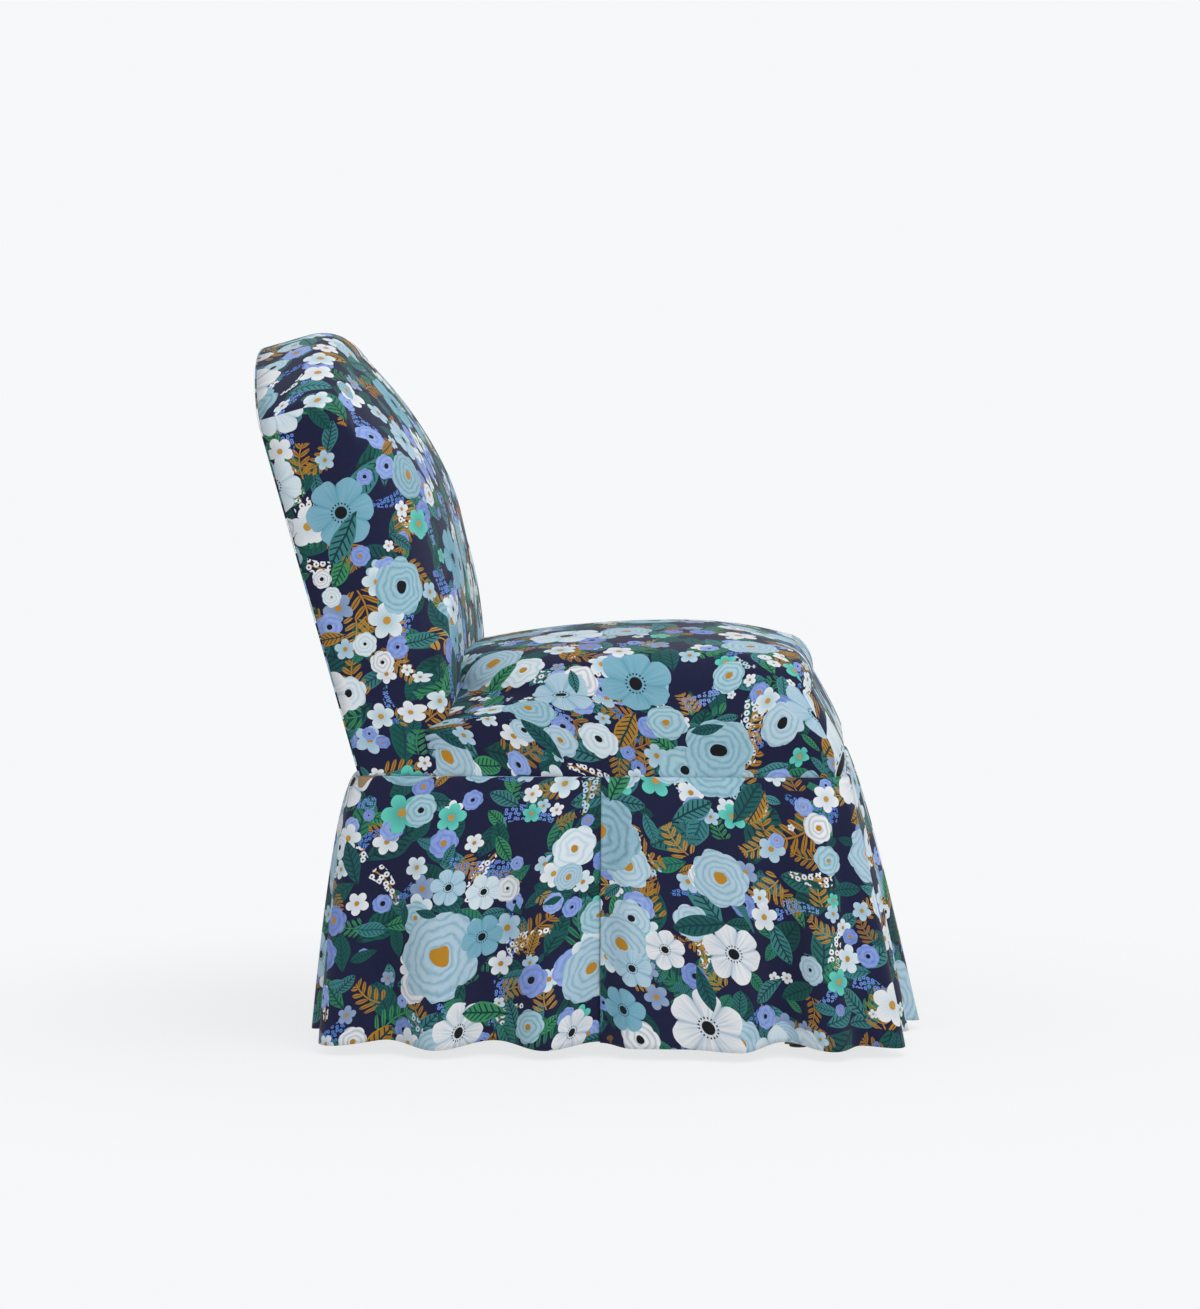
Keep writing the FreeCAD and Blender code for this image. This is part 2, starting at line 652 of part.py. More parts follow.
# Legs at the corners: block under the rails, plate, tapered leg, hanger bolt and nailed glide.
hangers = []
plate_screws = []
corner_parts = []
for end in ("front", "rear"):
    for side, hand in (("left", 1), ("right", -1)):
        tag = "%s_%s" % (end, side)
        sign = "" if hand > 0 else "-"
        inner_x = RAIL_IN if end == "front" else POST_IN
        block_x = "%s - block_side" % inner_x if hand > 0 else "-" + inner_x
        block_y = FRONT_IN if end == "front" else "%s - block_side" % REAR_IN
        leg_x = "%s(%s - leg_inset)" % (sign, inner_x)
        leg_y = "%s + leg_inset" % FRONT_IN if end == "front" else "%s - leg_inset" % REAR_IN
        corner_parts.append((tag, hand, end, block_x, block_y, leg_x, leg_y))
        hangers.append(rod("Hanger_" + tag, "bolt_radius", "bolt_down + plate_thick + bolt_up",
                           (leg_x, leg_y, BOX_BOTTOM + " - plate_thick - bolt_down")))
        for count, (step_x, step_y) in enumerate(((-1, -1), (-1, 1), (1, -1), (1, 1))):
            at = ("%s + %d * screw_spread" % (leg_x, step_x), "%s + %d * screw_spread" % (leg_y, step_y),
                  BOX_BOTTOM + " - plate_thick")
            shank = rod("PlateShank_%s_%d" % (tag, count), "screw_radius", "screw_long", at)
            head = cone("PlateHead_%s_%d" % (tag, count), "screw_head", "screw_radius", "screw_head_deep", at)
            plate_screws.append(fuse("PlateScrew_%s_%d" % (tag, count), [shank, head]))
all_hangers = keep(group("HangerBolts", hangers), "leg_hanger_bolts")
all_plate_screws = keep(group("PlateScrews", plate_screws), "leg_plate_screws")
fixings = group("CornerFixings", [all_hangers, all_plate_screws])

for tag, hand, end, block_x, block_y, leg_x, leg_y in corner_parts:
    raw = box("Block_" + tag, ("block_side", "block_side", "block_tall"), (block_x, block_y, BOX_BOTTOM))
    doc.recompute()
    inner_x = raw.Shape.BoundBox.XMin if hand > 0 else raw.Shape.BoundBox.XMax
    inner_y = raw.Shape.BoundBox.YMax if end == "front" else raw.Shape.BoundBox.YMin
    chamfer = doc.addObject("Part::Chamfer", "BlockChamfer_" + tag)
    chamfer.Base = raw
    inner = [index for index, edge in enumerate(raw.Shape.Edges, start=1)
             if abs(edge.CenterOfMass.x - inner_x) < 1e-6 and abs(edge.CenterOfMass.y - inner_y) < 1e-6]
    chamfer.Edges = [(inner[0], size("block_chamfer"), size("block_chamfer"))]
    keep(cut("CornerBlock_" + tag, chamfer, fixings), tag + "_corner_block")
    plate = box("Plate_" + tag, ("plate_side", "plate_side", "plate_thick"),
                ("%s - plate_side / 2" % leg_x, "%s - plate_side / 2" % leg_y, BOX_BOTTOM + " - plate_thick"))
    keep(cut("LegPlate_" + tag, plate, fixings), tag + "_leg_plate")
    leg = doc.addObject("Part::Wedge", "Leg_" + tag)
    for prop, text in (("Xmin", "-leg_foot / 2"), ("Xmax", "leg_foot / 2"), ("Zmin", "-leg_foot / 2"),
                       ("Zmax", "leg_foot / 2"), ("X2min", "-leg_top / 2"), ("X2max", "leg_top / 2"),
                       ("Z2min", "-leg_top / 2"), ("Z2max", "leg_top / 2"), ("Ymin", "0"),
                       ("Ymax", BOX_BOTTOM + " - plate_thick - glide_tall")):
        leg.setExpression(prop, formula(text))
    place(leg, (leg_x, leg_y, "glide_tall"), FreeCAD.Rotation(Vector(1, 0, 0), 90))
    disc = rod("GlideDisc_" + tag, "glide_radius", "glide_tall", (leg_x, leg_y, "0"))
    doc.recompute()
    rounded = doc.addObject("Part::Fillet", "GlideRound_" + tag)
    rounded.Base = disc
    rim = [index for index, edge in enumerate(disc.Shape.Edges, start=1)
           if edge.BoundBox.ZMax < 1e-6 and edge.Length > size("glide_radius")]
    rounded.Edges = [(rim[0], size("glide_round"), size("glide_round"))]
    nail = rod("GlideNail_" + tag, "nail_radius", "nail_long", (leg_x, leg_y, "glide_tall - nail_root"))
    glide = keep(fuse("Glide_" + tag, [rounded, nail]), tag + "_glide")
    bored = cut("LegBored_" + tag, leg, glide)
    keep(cut("LegDone_" + tag, bored, all_hangers), tag + "_leg")

# Back suspension: jute webbing both ways on the frame's front, and hessian over it.
web_front = size("panel_gap") + size("post_deep") + gap
LEAN = FreeCAD.Rotation(Vector(-1, 0, 0), size("rake"))


def leaning_slab(low, high):
    """A box given by its corners (x, v, w) in the back's frame."""
    shape = Part.makeBox(high[0] - low[0], high[2] - low[2], high[1] - low[1])
    shape.Placement = FreeCAD.Placement(leaning_point(low[0], low[1], high[2]), LEAN)
    return shape


web_half = half - size("web_inset")
across_straps = []
for number in range(STRAPS_ACROSS):
    middle_up = size("lower_cross_up") + size("cross_tall") + number * size("web_across_pitch")
    up = middle_up - size("web_wide") / 2
    across_straps.append(leaning_slab((-web_half, up, web_front),
                                      (web_half, up + size("web_wide"), web_front + size("web_thick"))))
keep(solid("WebAcross", Part.makeCompound(across_straps)), "back_webbing_across")
lay = gap / 3
up_front = web_front + size("web_thick") + lay
strap_top = size("back_height") - size("arch_rise")
up_straps = []
for number in range(STRAPS_UP):
    across = (number - (STRAPS_UP - 1) / 2) * size("web_up_pitch") - size("web_wide") / 2
    low_end = size("lower_cross_up") + 2 * size("web_inset")
    up_straps.append(leaning_slab((across, low_end, up_front),
                                  (across + size("web_wide"), strap_top, up_front + size("web_thick"))))
keep(solid("WebUp", Part.makeCompound(up_straps)), "back_webbing_up")
hessian_rear = up_front + size("web_thick") + lay
hessian_front = hessian_rear + size("hessian_thick")
hessian = leaning_slab((-web_half, size("lower_cross_up") + size("web_inset"), hessian_rear),
                       (web_half, strap_top + size("web_inset"), hessian_front))
keep(solid("BackHessian", hessian), "back_hessian")
foam_rear = hessian_front + gap

# Soft layers of the back, each inside the last, and the plain outside panel behind them.
seam_half = slab((-WIDE, -WIDE, seam), (WIDE, WIDE, 2 * WIDE))
rail_room = slab((-WIDE, -WIDE, 0.0), (WIDE, WIDE, deck))
inside_covers = size("chair_width") / 2 - cover
over_box = slab((-inside_covers, -WIDE, 0.0), (inside_covers, WIDE, deck))

outside_face = Part.Face(back_wire(0.0, 0.0, 0.0))
forwards = leaning_point(0, 0, cover) - leaning_point(0, 0, 0)
keep(solid("OutsideBack", outside_face.extrude(forwards).common(seam_half)), "outside_back_panel")

back_outer = back_form(0.0, cover)
back_shell = back_outer.cut(back_form(cover, -cover)).common(seam_half).cut(over_box)
keep(solid("BackCover", back_shell), "back_cover")
frame_face = Part.Face(back_wire(size("frame_cover") - gap, -cover, 0.0))
frame_room = frame_face.extrude(leaning_point(0, 0, foam_rear + cover) - leaning_point(0, 0, 0))
wadding = back_form(under_cover, cover + gap).cut(back_form(under_wadding, -cover)).cut(rail_room)
keep(solid("BackWadding", wadding), "back_wadding")
back_foam = back_form(in_foam, size("panel_gap")).cut(frame_room).cut(rail_room)
keep(solid("BackFoam", back_foam), "back_foam")

# Soft layers of the seat, tucked against the back.
back_room = back_form(-gap, -cover).fuse(behind_joint()).common(seam_half)
seat_room = seat_form(cover, box_bottom - PAST)
seat_shell = seat_form(0.0, box_bottom).cut(seat_room).cut(back_room)
keep(solid("SeatCover", seat_shell), "seat_cover")
seat_wadding = seat_form(under_cover, seam).cut(seat_form(under_wadding, seam - PAST))
seat_wadding = seat_wadding.cut(rail_room).cut(back_room)
keep(solid("SeatWadding", seat_wadding), "seat_wadding")
keep(solid("SeatFoam", seat_form(in_foam, seam).cut(rail_room).cut(back_room)), "seat_foam")
pad_edge = size("insulator_edge")
pad_half = size("chair_width") / 2 - pad_edge
pad_front = size("rear_face") - size("seat_depth") + pad_edge + cover
insulator = slab((-pad_half, pad_front, insulator_bottom), (pad_half, rear_end, insulator_top))
posts_room = leaning_slab((-half - gap, -size("post_foot") - PAST, -PAST),
                          (half + gap, size("post_top"), web_front))
insulator = insulator.common(plan_prism(pad_edge, insulator_bottom, insulator_top)).cut(posts_room)
keep(solid("Insulator", insulator), "seat_insulator")

# Dust cover under the box, with room for the leg plates.
dust_bottom = box_bottom - size("dust_thick")
dust = plan_prism(under_cover, dust_bottom, box_bottom)
doc.recompute()
for item in nodes:
    if item.Label.endswith("_leg_plate"):
        edge = item.Shape.BoundBox
        dust = dust.cut(slab((edge.XMin - gap, edge.YMin - gap, dust_bottom - PAST),
                             (edge.XMax + gap, edge.YMax + gap, box_bottom + PAST)))
keep(solid("DustCover", dust), "dust_cover")

# Skirt: gathered cloth with one fold crest on each corner, lined, sewn on over a card strip.
tack_ring = plan_prism(-size("tack_thick"), seam - size("tack_tall"), seam).cut(
    plan_prism(0.0, seam - size("tack_tall") - PAST, seam + PAST))
keep(solid("TackStrip", tack_ring), "skirt_tack_strip")

QUARTERS = (("rear_left", 1, 1), ("rear_right", -1, 1), ("front_right", -1, -1), ("front_left", 1, -1))
SKIRT_LEVELS = (0.0, 0.12, 0.35, 0.68, 1.0)
# Half of a quarter's length that lies round its corner, and how fast the flare and the folds open downwards.
ROUND_SHARE = 0.12
SIDE_FLARE_POWER = 0.62
FRONT_FLARE_POWER = 0.85
REAR_FLARE_POWER = 0.38
FOLD_POWER = 0.8
SMALL_STEP = 1e-4


def skirt_point(share, drop, depth, hand_x, hand_y):
    """A point on one quarter of the skirt.

    share runs from the middle of the side (0) over the corner (0.5) to the middle of the front or rear
    (1), drop from the seam (0) to the hem (1), and depth is how far the point lies inside the outer face.
    """
    half_x = size("chair_width") / 2
    front = size("rear_face") - size("seat_depth")
    middle = (front + size("rear_face")) / 2
    half_y = size("seat_depth") / 2
    folds = size("gather_depth") + (size("fold_depth") - size("gather_depth")) * drop ** FOLD_POWER
    root = size("tack_thick") + gap + size("skirt_thick") + size("gather_depth")
    flare_end = size("flare_front") if hand_y < 0 else size("flare_rear")
    end_power = FRONT_FLARE_POWER if hand_y < 0 else REAR_FLARE_POWER
    grow_x = root + (size("flare_side") - size("fold_depth") - root) * drop ** SIDE_FLARE_POWER
    grow_y = root + (flare_end - size("fold_depth") - root) * drop ** end_power
    corner = size("seat_corner") + (grow_x + grow_y) / 2
    side_run = half_y + grow_y - corner
    end_run = half_x + grow_x - corner
    straight_share = 0.5 - ROUND_SHARE

    def base(at):
        if at < straight_share:
            return Vector(half_x + grow_x, side_run * at / straight_share, 0), Vector(1, 0, 0)
        if 1 - at < straight_share:
            return Vector(end_run * (1 - at) / straight_share, half_y + grow_y, 0), Vector(0, 1, 0)
        angle = (at - straight_share) / (2 * ROUND_SHARE) * math.pi / 2
        out = Vector(math.cos(angle), math.sin(angle), 0)
        return Vector(end_run, side_run, 0) + out * corner, out

    def outer(at):
        spot, out = base(at)
        lift = math.cos(math.pi * FOLDS_PER_SIDE * (2 * at - 1)) * folds
        return spot + out * lift

    ahead, behind = outer(min(share + SMALL_STEP, 1.0)), outer(max(share - SMALL_STEP, 0.0))
    along = ahead - behind
    along.normalize()
    outwards = Vector(along.y, -along.x, 0)
    spot = outer(share) - outwards * depth
    height = seam - (seam - size("hem_clear")) * drop
    return Vector(spot.x * hand_x, middle + spot.y * hand_y, height)


def fold_edges(drop, depth, hand_x, hand_y):
    """The folds of one quarter at one level as a chain of arcs from zero crossing to zero crossing."""
    marks = [0.0] + [(k + 0.5) / (2 * FOLDS_PER_SIDE) for k in range(2 * FOLDS_PER_SIDE)] + [1.0]
    chain = []
    for start, end in zip(marks, marks[1:]):
        points = [skirt_point(at, drop, depth, hand_x, hand_y) for at in (start, (start + end) / 2, end)]
        chain.append(arc(*points))
    return chain


def cloth_quarter(outer_depth, inner_depth, hand_x, hand_y):
    """Solid of one quarter of the gathered cloth between two depths."""
    wires = []
    for drop in SKIRT_LEVELS:
        outside = fold_edges(drop, outer_depth, hand_x, hand_y)
        inside = fold_edges(drop, inner_depth, hand_x, hand_y)
        ends = [[skirt_point(at, drop, depth, hand_x, hand_y) for depth in (outer_depth, inner_depth)]
                for at in (0.0, 1.0)]
        loop = outside + [line(ends[1][0], ends[1][1])] + inside[::-1] + [line(ends[0][1], ends[0][0])]
        wires.append(Part.Wire(loop))
    return Part.makeLoft(wires, True, False)


linings = []
lining_start = size("skirt_thick") + lay
for label, hand_x, hand_y in QUARTERS:
    keep(solid("Skirt_" + label, cloth_quarter(0.0, size("skirt_thick"), hand_x, hand_y)), "skirt_" + label)
    linings.append(cloth_quarter(lining_start, lining_start + size("lining_thick"), hand_x, hand_y))
keep(solid("SkirtLining", Part.makeCompound(linings)), "skirt_lining")

doc.recompute()
for item in doc.Objects:
    if "Invalid" in item.State or "Error" in item.State:
        raise RuntimeError("failed object: " + item.Label)
for item in nodes:
    if item.Shape.isNull() or not item.Shape.isValid():
        raise RuntimeError("bad shape: " + item.Label)
for item in nodes:
    item.Shape.exportStep("parts/%s.step" % item.Label)
    edge = item.Shape.BoundBox
    print("%-26s solids %2d volume %10.1f  x %.1f %.1f y %.1f %.1f z %.1f %.1f" % (
        item.Label, len(item.Shape.Solids), item.Shape.Volume, edge.XMin, edge.XMax, edge.YMin, edge.YMax,
        edge.ZMin, edge.ZMax))
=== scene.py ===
"""Skirted slipper chair, dressed: printed upholstery, gathered skirt, and the finishes of the frame inside.

Metres, in the frame's own axes: front towards -Y, +Z up, origin on the floor under the middle.
"""
import math

import bmesh
import bpy
import numpy as np
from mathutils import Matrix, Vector


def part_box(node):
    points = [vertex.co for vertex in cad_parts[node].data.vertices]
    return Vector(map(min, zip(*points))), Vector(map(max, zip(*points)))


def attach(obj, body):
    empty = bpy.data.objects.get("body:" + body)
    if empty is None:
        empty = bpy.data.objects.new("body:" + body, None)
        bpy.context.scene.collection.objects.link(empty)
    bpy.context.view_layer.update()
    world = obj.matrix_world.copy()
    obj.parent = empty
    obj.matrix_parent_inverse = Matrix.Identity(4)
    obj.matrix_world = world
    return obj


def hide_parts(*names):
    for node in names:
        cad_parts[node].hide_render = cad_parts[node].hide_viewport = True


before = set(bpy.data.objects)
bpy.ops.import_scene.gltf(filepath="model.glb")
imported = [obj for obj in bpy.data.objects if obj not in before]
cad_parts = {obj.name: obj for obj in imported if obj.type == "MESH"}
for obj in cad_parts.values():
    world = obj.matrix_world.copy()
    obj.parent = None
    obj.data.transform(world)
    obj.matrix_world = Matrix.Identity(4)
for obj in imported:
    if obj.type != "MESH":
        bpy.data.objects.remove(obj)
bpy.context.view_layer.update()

# Camera: square to the chair's right side, turned a little to the front and raised a little, as a
# catalogue picture is taken with a long lens from across a studio.
AIM = Vector((0.0, -0.010, 0.448))
CAMERA_DISTANCE = 4.708
CAMERA_TURN = math.radians(3.0)
CAMERA_RISE = math.radians(3.15)
FOCAL_LENGTH = 105.9
camera_data = bpy.data.cameras.new("camera")
camera_data.lens = FOCAL_LENGTH
camera_data.sensor_width = 36.0
camera = bpy.data.objects.new("camera", camera_data)
bpy.context.scene.collection.objects.link(camera)
camera.location = AIM + CAMERA_DISTANCE * Vector((
    -math.cos(CAMERA_TURN) * math.cos(CAMERA_RISE),
    -math.sin(CAMERA_TURN) * math.cos(CAMERA_RISE),
    math.sin(CAMERA_RISE)))
camera.rotation_euler = (AIM - camera.location).to_track_quat("-Z", "Y").to_euler()
bpy.context.scene.camera = camera

# Printed cloth: a plain-woven cotton and linen canvas, dyed navy and screen printed all over with
# painted flowers, leaves and sprigs. Matte, with a faint sheen along the fibres and a fine weave.


def linear(code):
    """An sRGB hex colour as the linear RGBA that shaders take."""
    shares = [int(code[i:i + 2], 16) / 255 for i in (1, 3, 5)]
    return tuple(s / 12.92 if s <= 0.04045 else ((s + 0.055) / 1.055) ** 2.4 for s in shares) + (1.0,)


def add(tree, kind, *inputs, **settings):
    """Add one node and give its first output in use.

    kind is a shader node's name or, in capitals, what a Math node works out. inputs fill the sockets in
    order with links or values, None leaves one alone. A setting names a property, or a socket whose
    spaces are written as underscores.
    """
    node = tree.nodes.new("ShaderNodeMath" if kind.isupper() else "ShaderNode" + kind)
    if kind.isupper():
        node.operation = kind
    by_name = {}
    for name, value in settings.items():
        if name in node.bl_rna.properties:
            setattr(node, name, value)
        else:
            by_name[name.replace("_", " ")] = value
    sockets = [socket for socket in node.inputs if socket.enabled]
    wanted = list(zip(sockets, inputs))
    wanted += [(next(s for s in sockets if s.name == name), value) for name, value in by_name.items()]
    for socket, value in wanted:
        if isinstance(value, bpy.types.NodeSocket):
            tree.links.new(value, socket)
        elif value is not None:
            socket.default_value = value
    return next(socket for socket in node.outputs if socket.enabled)


def material(name):
    """A new material with a bare Principled shader: its tree and its shader node."""
    made = bpy.data.materials.new(name)
    made.use_nodes = True
    return made, made.node_tree, made.node_tree.nodes["Principled BSDF"]


printed_canvas, cloth, canvas_shader = material("printed_cotton_canvas")
flat_cloth = add(cloth, "UVMap", uv_map="cloth")
stroke = add(cloth, "TexNoise", flat_cloth, noise_dimensions="2D", Scale=170.0, Detail=2.0, Distortion=0.6)
drift = add(cloth, "TexNoise", flat_cloth, noise_dimensions="2D", Scale=45.0, Detail=1.0)
wobble = add(cloth, "SUBTRACT", drift, 0.5)


def chosen(share, colours):
    """One of several hex colours, picked by a random share."""
    colour = add(cloth, "ValToRGB", share)
    ramp = colour.node.color_ramp
    ramp.interpolation = "CONSTANT"
    ramp.elements[0].color = linear(colours[0])
    ramp.elements[1].position = 1 / len(colours)
    ramp.elements[1].color = linear(colours[1])
    for index in range(2, len(colours)):
        ramp.elements.new(index / len(colours)).color = linear(colours[index])
    return colour


def scattered(spacing, shift, looseness=0.85):
    """A layer of places on the cloth, spacing metres apart, each with a disc that fits between neighbours.

    Gives x and y inside the disc (it ends at radius 1), the radius, the angle, and three random shares.
    """
    moved = add(cloth, "VectorMath", flat_cloth, (shift, 0.37 * shift, 0.0), operation="ADD")
    cell = {"voronoi_dimensions": "2D", "Scale": 1 / spacing, "Randomness": looseness}
    nearest = add(cloth, "TexVoronoi", moved, **cell).node
    room = add(cloth, "TexVoronoi", moved, feature="N_SPHERE_RADIUS", **cell)
    share = add(cloth, "SeparateColor", nearest.outputs["Color"]).node.outputs
    away = add(cloth, "VectorMath", moved, nearest.outputs["Position"], operation="SUBTRACT")
    reach = add(cloth, "DIVIDE", 1 / spacing, room)
    sized = add(cloth, "VectorMath", away, Scale=reach, operation="SCALE")
    turned = add(cloth, "VectorRotate", sized, Angle=add(cloth, "MULTIPLY", share[0], 2 * math.pi),
                 rotation_type="Z_AXIS")
    split = add(cloth, "SeparateXYZ", turned).node.outputs
    radius = add(cloth, "VectorMath", turned, operation="LENGTH")
    angle = add(cloth, "ARCTAN2", split[1], split[0])
    return split[0], split[1], radius, angle, share


def both(*masks):
    """Where all the masks hold."""
    held = masks[0]
    for mask in masks[1:]:
        held = add(cloth, "MULTIPLY", held, mask)
    return held


def painted(under, mask, over):
    """One colour laid over another where the mask holds."""
    return add(cloth, "Mix", mask, under, over, data_type="RGBA")


def petal_edge(angle, petals, blunt, depth):
    """How far a flower reaches at each angle: 1 less depth between petals, blunt rounding their tips."""
    lobe = add(cloth, "ABSOLUTE", add(cloth, "COSINE", add(cloth, "MULTIPLY", angle, petals / 2)))
    lobe = add(cloth, "POWER", lobe, blunt)
    reach = add(cloth, "MULTIPLY_ADD", lobe, depth, 0.96 - depth)
    return add(cloth, "MULTIPLY_ADD", wobble, 0.22, reach)


def leaves(under, spacing, shift, width, kept, colours, vein):
    """Lance leaves: two arcs meeting in points, with a midrib and slanting side veins."""
    x, y, _, _, share = scattered(spacing, shift)
    long = add(cloth, "MULTIPLY", x, 1.03)
    room = add(cloth, "SUBTRACT", 1.0, add(cloth, "MULTIPLY", long, long))
    swell = add(cloth, "MULTIPLY_ADD", long, 0.3, 1.0)
    half = both(room, swell, width)
    across = add(cloth, "ABSOLUTE", add(cloth, "MULTIPLY_ADD", wobble, 0.12, y))
    inside = both(add(cloth, "LESS_THAN", across, half), add(cloth, "LESS_THAN", share[2], kept))
    slanted = add(cloth, "SUBTRACT", long, add(cloth, "MULTIPLY", across, 0.9))
    ribs = add(cloth, "SINE", add(cloth, "MULTIPLY", slanted, 26.0))
    ribs = add(cloth, "GREATER_THAN", ribs, 0.55)
    shorter = add(cloth, "LESS_THAN", across, add(cloth, "MULTIPLY", half, 0.82))
    midrib = add(cloth, "LESS_THAN", across, 0.035)
    lines = add(cloth, "MAXIMUM", both(ribs, shorter), midrib)
    body = add(cloth, "Mix", stroke, chosen(share[1], colours), linear(vein), data_type="RGBA")
    body = painted(chosen(share[1], colours), add(cloth, "MULTIPLY", stroke, 0.35), body)
    return painted(under, inside, painted(body, lines, linear(vein)))


def sprigs(under, spacing, shift, kept, colours):
    """A stem with pairs of leaflets that stand off it at a slant and get smaller to the tip."""
    x, y, radius, _, share = scattered(spacing, shift)
    bent = add(cloth, "ADD", y, add(cloth, "MULTIPLY", add(cloth, "MULTIPLY", x, x), 0.25))
    across = add(cloth, "ABSOLUTE", bent)
    along = add(cloth, "SUBTRACT", x, add(cloth, "MULTIPLY", across, 0.75))
    pitch = 0.42
    cell = add(cloth, "SUBTRACT", add(cloth, "FRACT", add(cloth, "DIVIDE", along, pitch)), 0.5)
    taper = add(cloth, "SUBTRACT", 0.30, add(cloth, "MULTIPLY", x, 0.12))
    run = add(cloth, "DIVIDE", add(cloth, "SUBTRACT", across, taper), taper)
    round_leaf = add(cloth, "ADD", add(cloth, "MULTIPLY", run, run),
                     add(cloth, "MULTIPLY", add(cloth, "MULTIPLY", cell, cell), 9.0))
    leaflet = add(cloth, "LESS_THAN", round_leaf, 0.86)
    line_in = add(cloth, "GREATER_THAN", add(cloth, "ABSOLUTE", cell), 0.045)
    stem = add(cloth, "LESS_THAN", across, 0.035)
    within = both(add(cloth, "LESS_THAN", add(cloth, "ABSOLUTE", x), 0.86),
                  add(cloth, "LESS_THAN", radius, 1.0), add(cloth, "LESS_THAN", share[2], kept))
    shape = add(cloth, "MAXIMUM", both(leaflet, line_in), stem)
    tone = painted(chosen(share[1], colours), add(cloth, "MULTIPLY", stroke, 0.3), linear("#0E2C33"))
    return painted(under, both(shape, within), tone)


def dotted(under, spacing, shift, dot, width, kept, colours, stem):
    """A flower spike or a spray of berries: a long patch of round dots with a stem down its middle."""
    x, y, radius, _, share = scattered(spacing, shift)
    bent = add(cloth, "ADD", y, add(cloth, "MULTIPLY", add(cloth, "MULTIPLY", x, x), 0.2))
    across = add(cloth, "ABSOLUTE", bent)
    taper = add(cloth, "MULTIPLY", add(cloth, "SUBTRACT", 1.0, add(cloth, "MULTIPLY", x, 0.55)), width)
    within = both(add(cloth, "LESS_THAN", across, taper), add(cloth, "LESS_THAN", radius, 0.95),
                  add(cloth, "LESS_THAN", share[2], kept))
    grain = add(cloth, "TexVoronoi", flat_cloth, voronoi_dimensions="2D", Scale=1 / dot, Randomness=0.55)
    dots = add(cloth, "LESS_THAN", grain, 0.40)
    ring = add(cloth, "GREATER_THAN", grain, 0.13)
    line = both(add(cloth, "LESS_THAN", across, 0.03), add(cloth, "LESS_THAN", radius, 1.0),
                add(cloth, "LESS_THAN", share[2], kept))
    stemmed = painted(under, line, linear(stem))
    return painted(stemmed, both(within, dots), painted(linear("#15193A"), ring, chosen(share[1], colours)))


def florets(under, spacing, shift, petals, depth, kept, colours, shades, heart):
    """Small open flowers with separate petals, strokes from the middle and a coloured heart."""
    _, _, radius, angle, share = scattered(spacing, shift, 0.8)
    edge = petal_edge(angle, petals, 0.7, depth)
    inside = both(add(cloth, "LESS_THAN", radius, edge), add(cloth, "LESS_THAN", share[2], kept))
    folds = add(cloth, "SINE", add(cloth, "MULTIPLY", angle, petals * 5))
    inner = add(cloth, "SUBTRACT", 1.0, add(cloth, "DIVIDE", radius, 0.8))
    shade = add(cloth, "MULTIPLY", add(cloth, "MULTIPLY_ADD", folds, 0.3, 0.7), inner, use_clamp=True)
    tone = painted(chosen(share[1], colours), shade, chosen(share[1], shades))
    middle = add(cloth, "LESS_THAN", radius, 0.2)
    return painted(under, inside, painted(tone, middle, linear(heart)))


def rosettes(under, spacing, shift, rings, kept, colours, shades, hearts):
    """Round many-petalled flowers painted as uneven rings round a dark or golden heart."""
    _, _, radius, angle, share = scattered(spacing, shift, 0.8)
    edge = petal_edge(angle, 7, 0.8, 0.10)
    inside = both(add(cloth, "LESS_THAN", radius, edge), add(cloth, "LESS_THAN", share[2], kept))
    lobes = add(cloth, "MULTIPLY", add(cloth, "SINE", add(cloth, "MULTIPLY", angle, 5.0)), 0.45)
    swirl = add(cloth, "ADD", add(cloth, "MULTIPLY", radius, 2 * math.pi * rings), lobes)
    swirl = add(cloth, "ADD", add(cloth, "MULTIPLY_ADD", wobble, 9.0, swirl), angle)
    band = add(cloth, "MULTIPLY_ADD", add(cloth, "SINE", swirl), 0.5, 0.5)
    band = add(cloth, "MULTIPLY", add(cloth, "POWER", band, 2.2), 0.85)
    tone = painted(chosen(share[1], colours), band, chosen(share[1], shades))
    tone = painted(tone, add(cloth, "MULTIPLY", stroke, 0.25), linear("#F2F4F5"))
    heart = add(cloth, "LESS_THAN", add(cloth, "MULTIPLY_ADD", wobble, 0.3, radius), 0.19)
    return painted(under, inside, painted(tone, heart, chosen(share[0], hearts)))


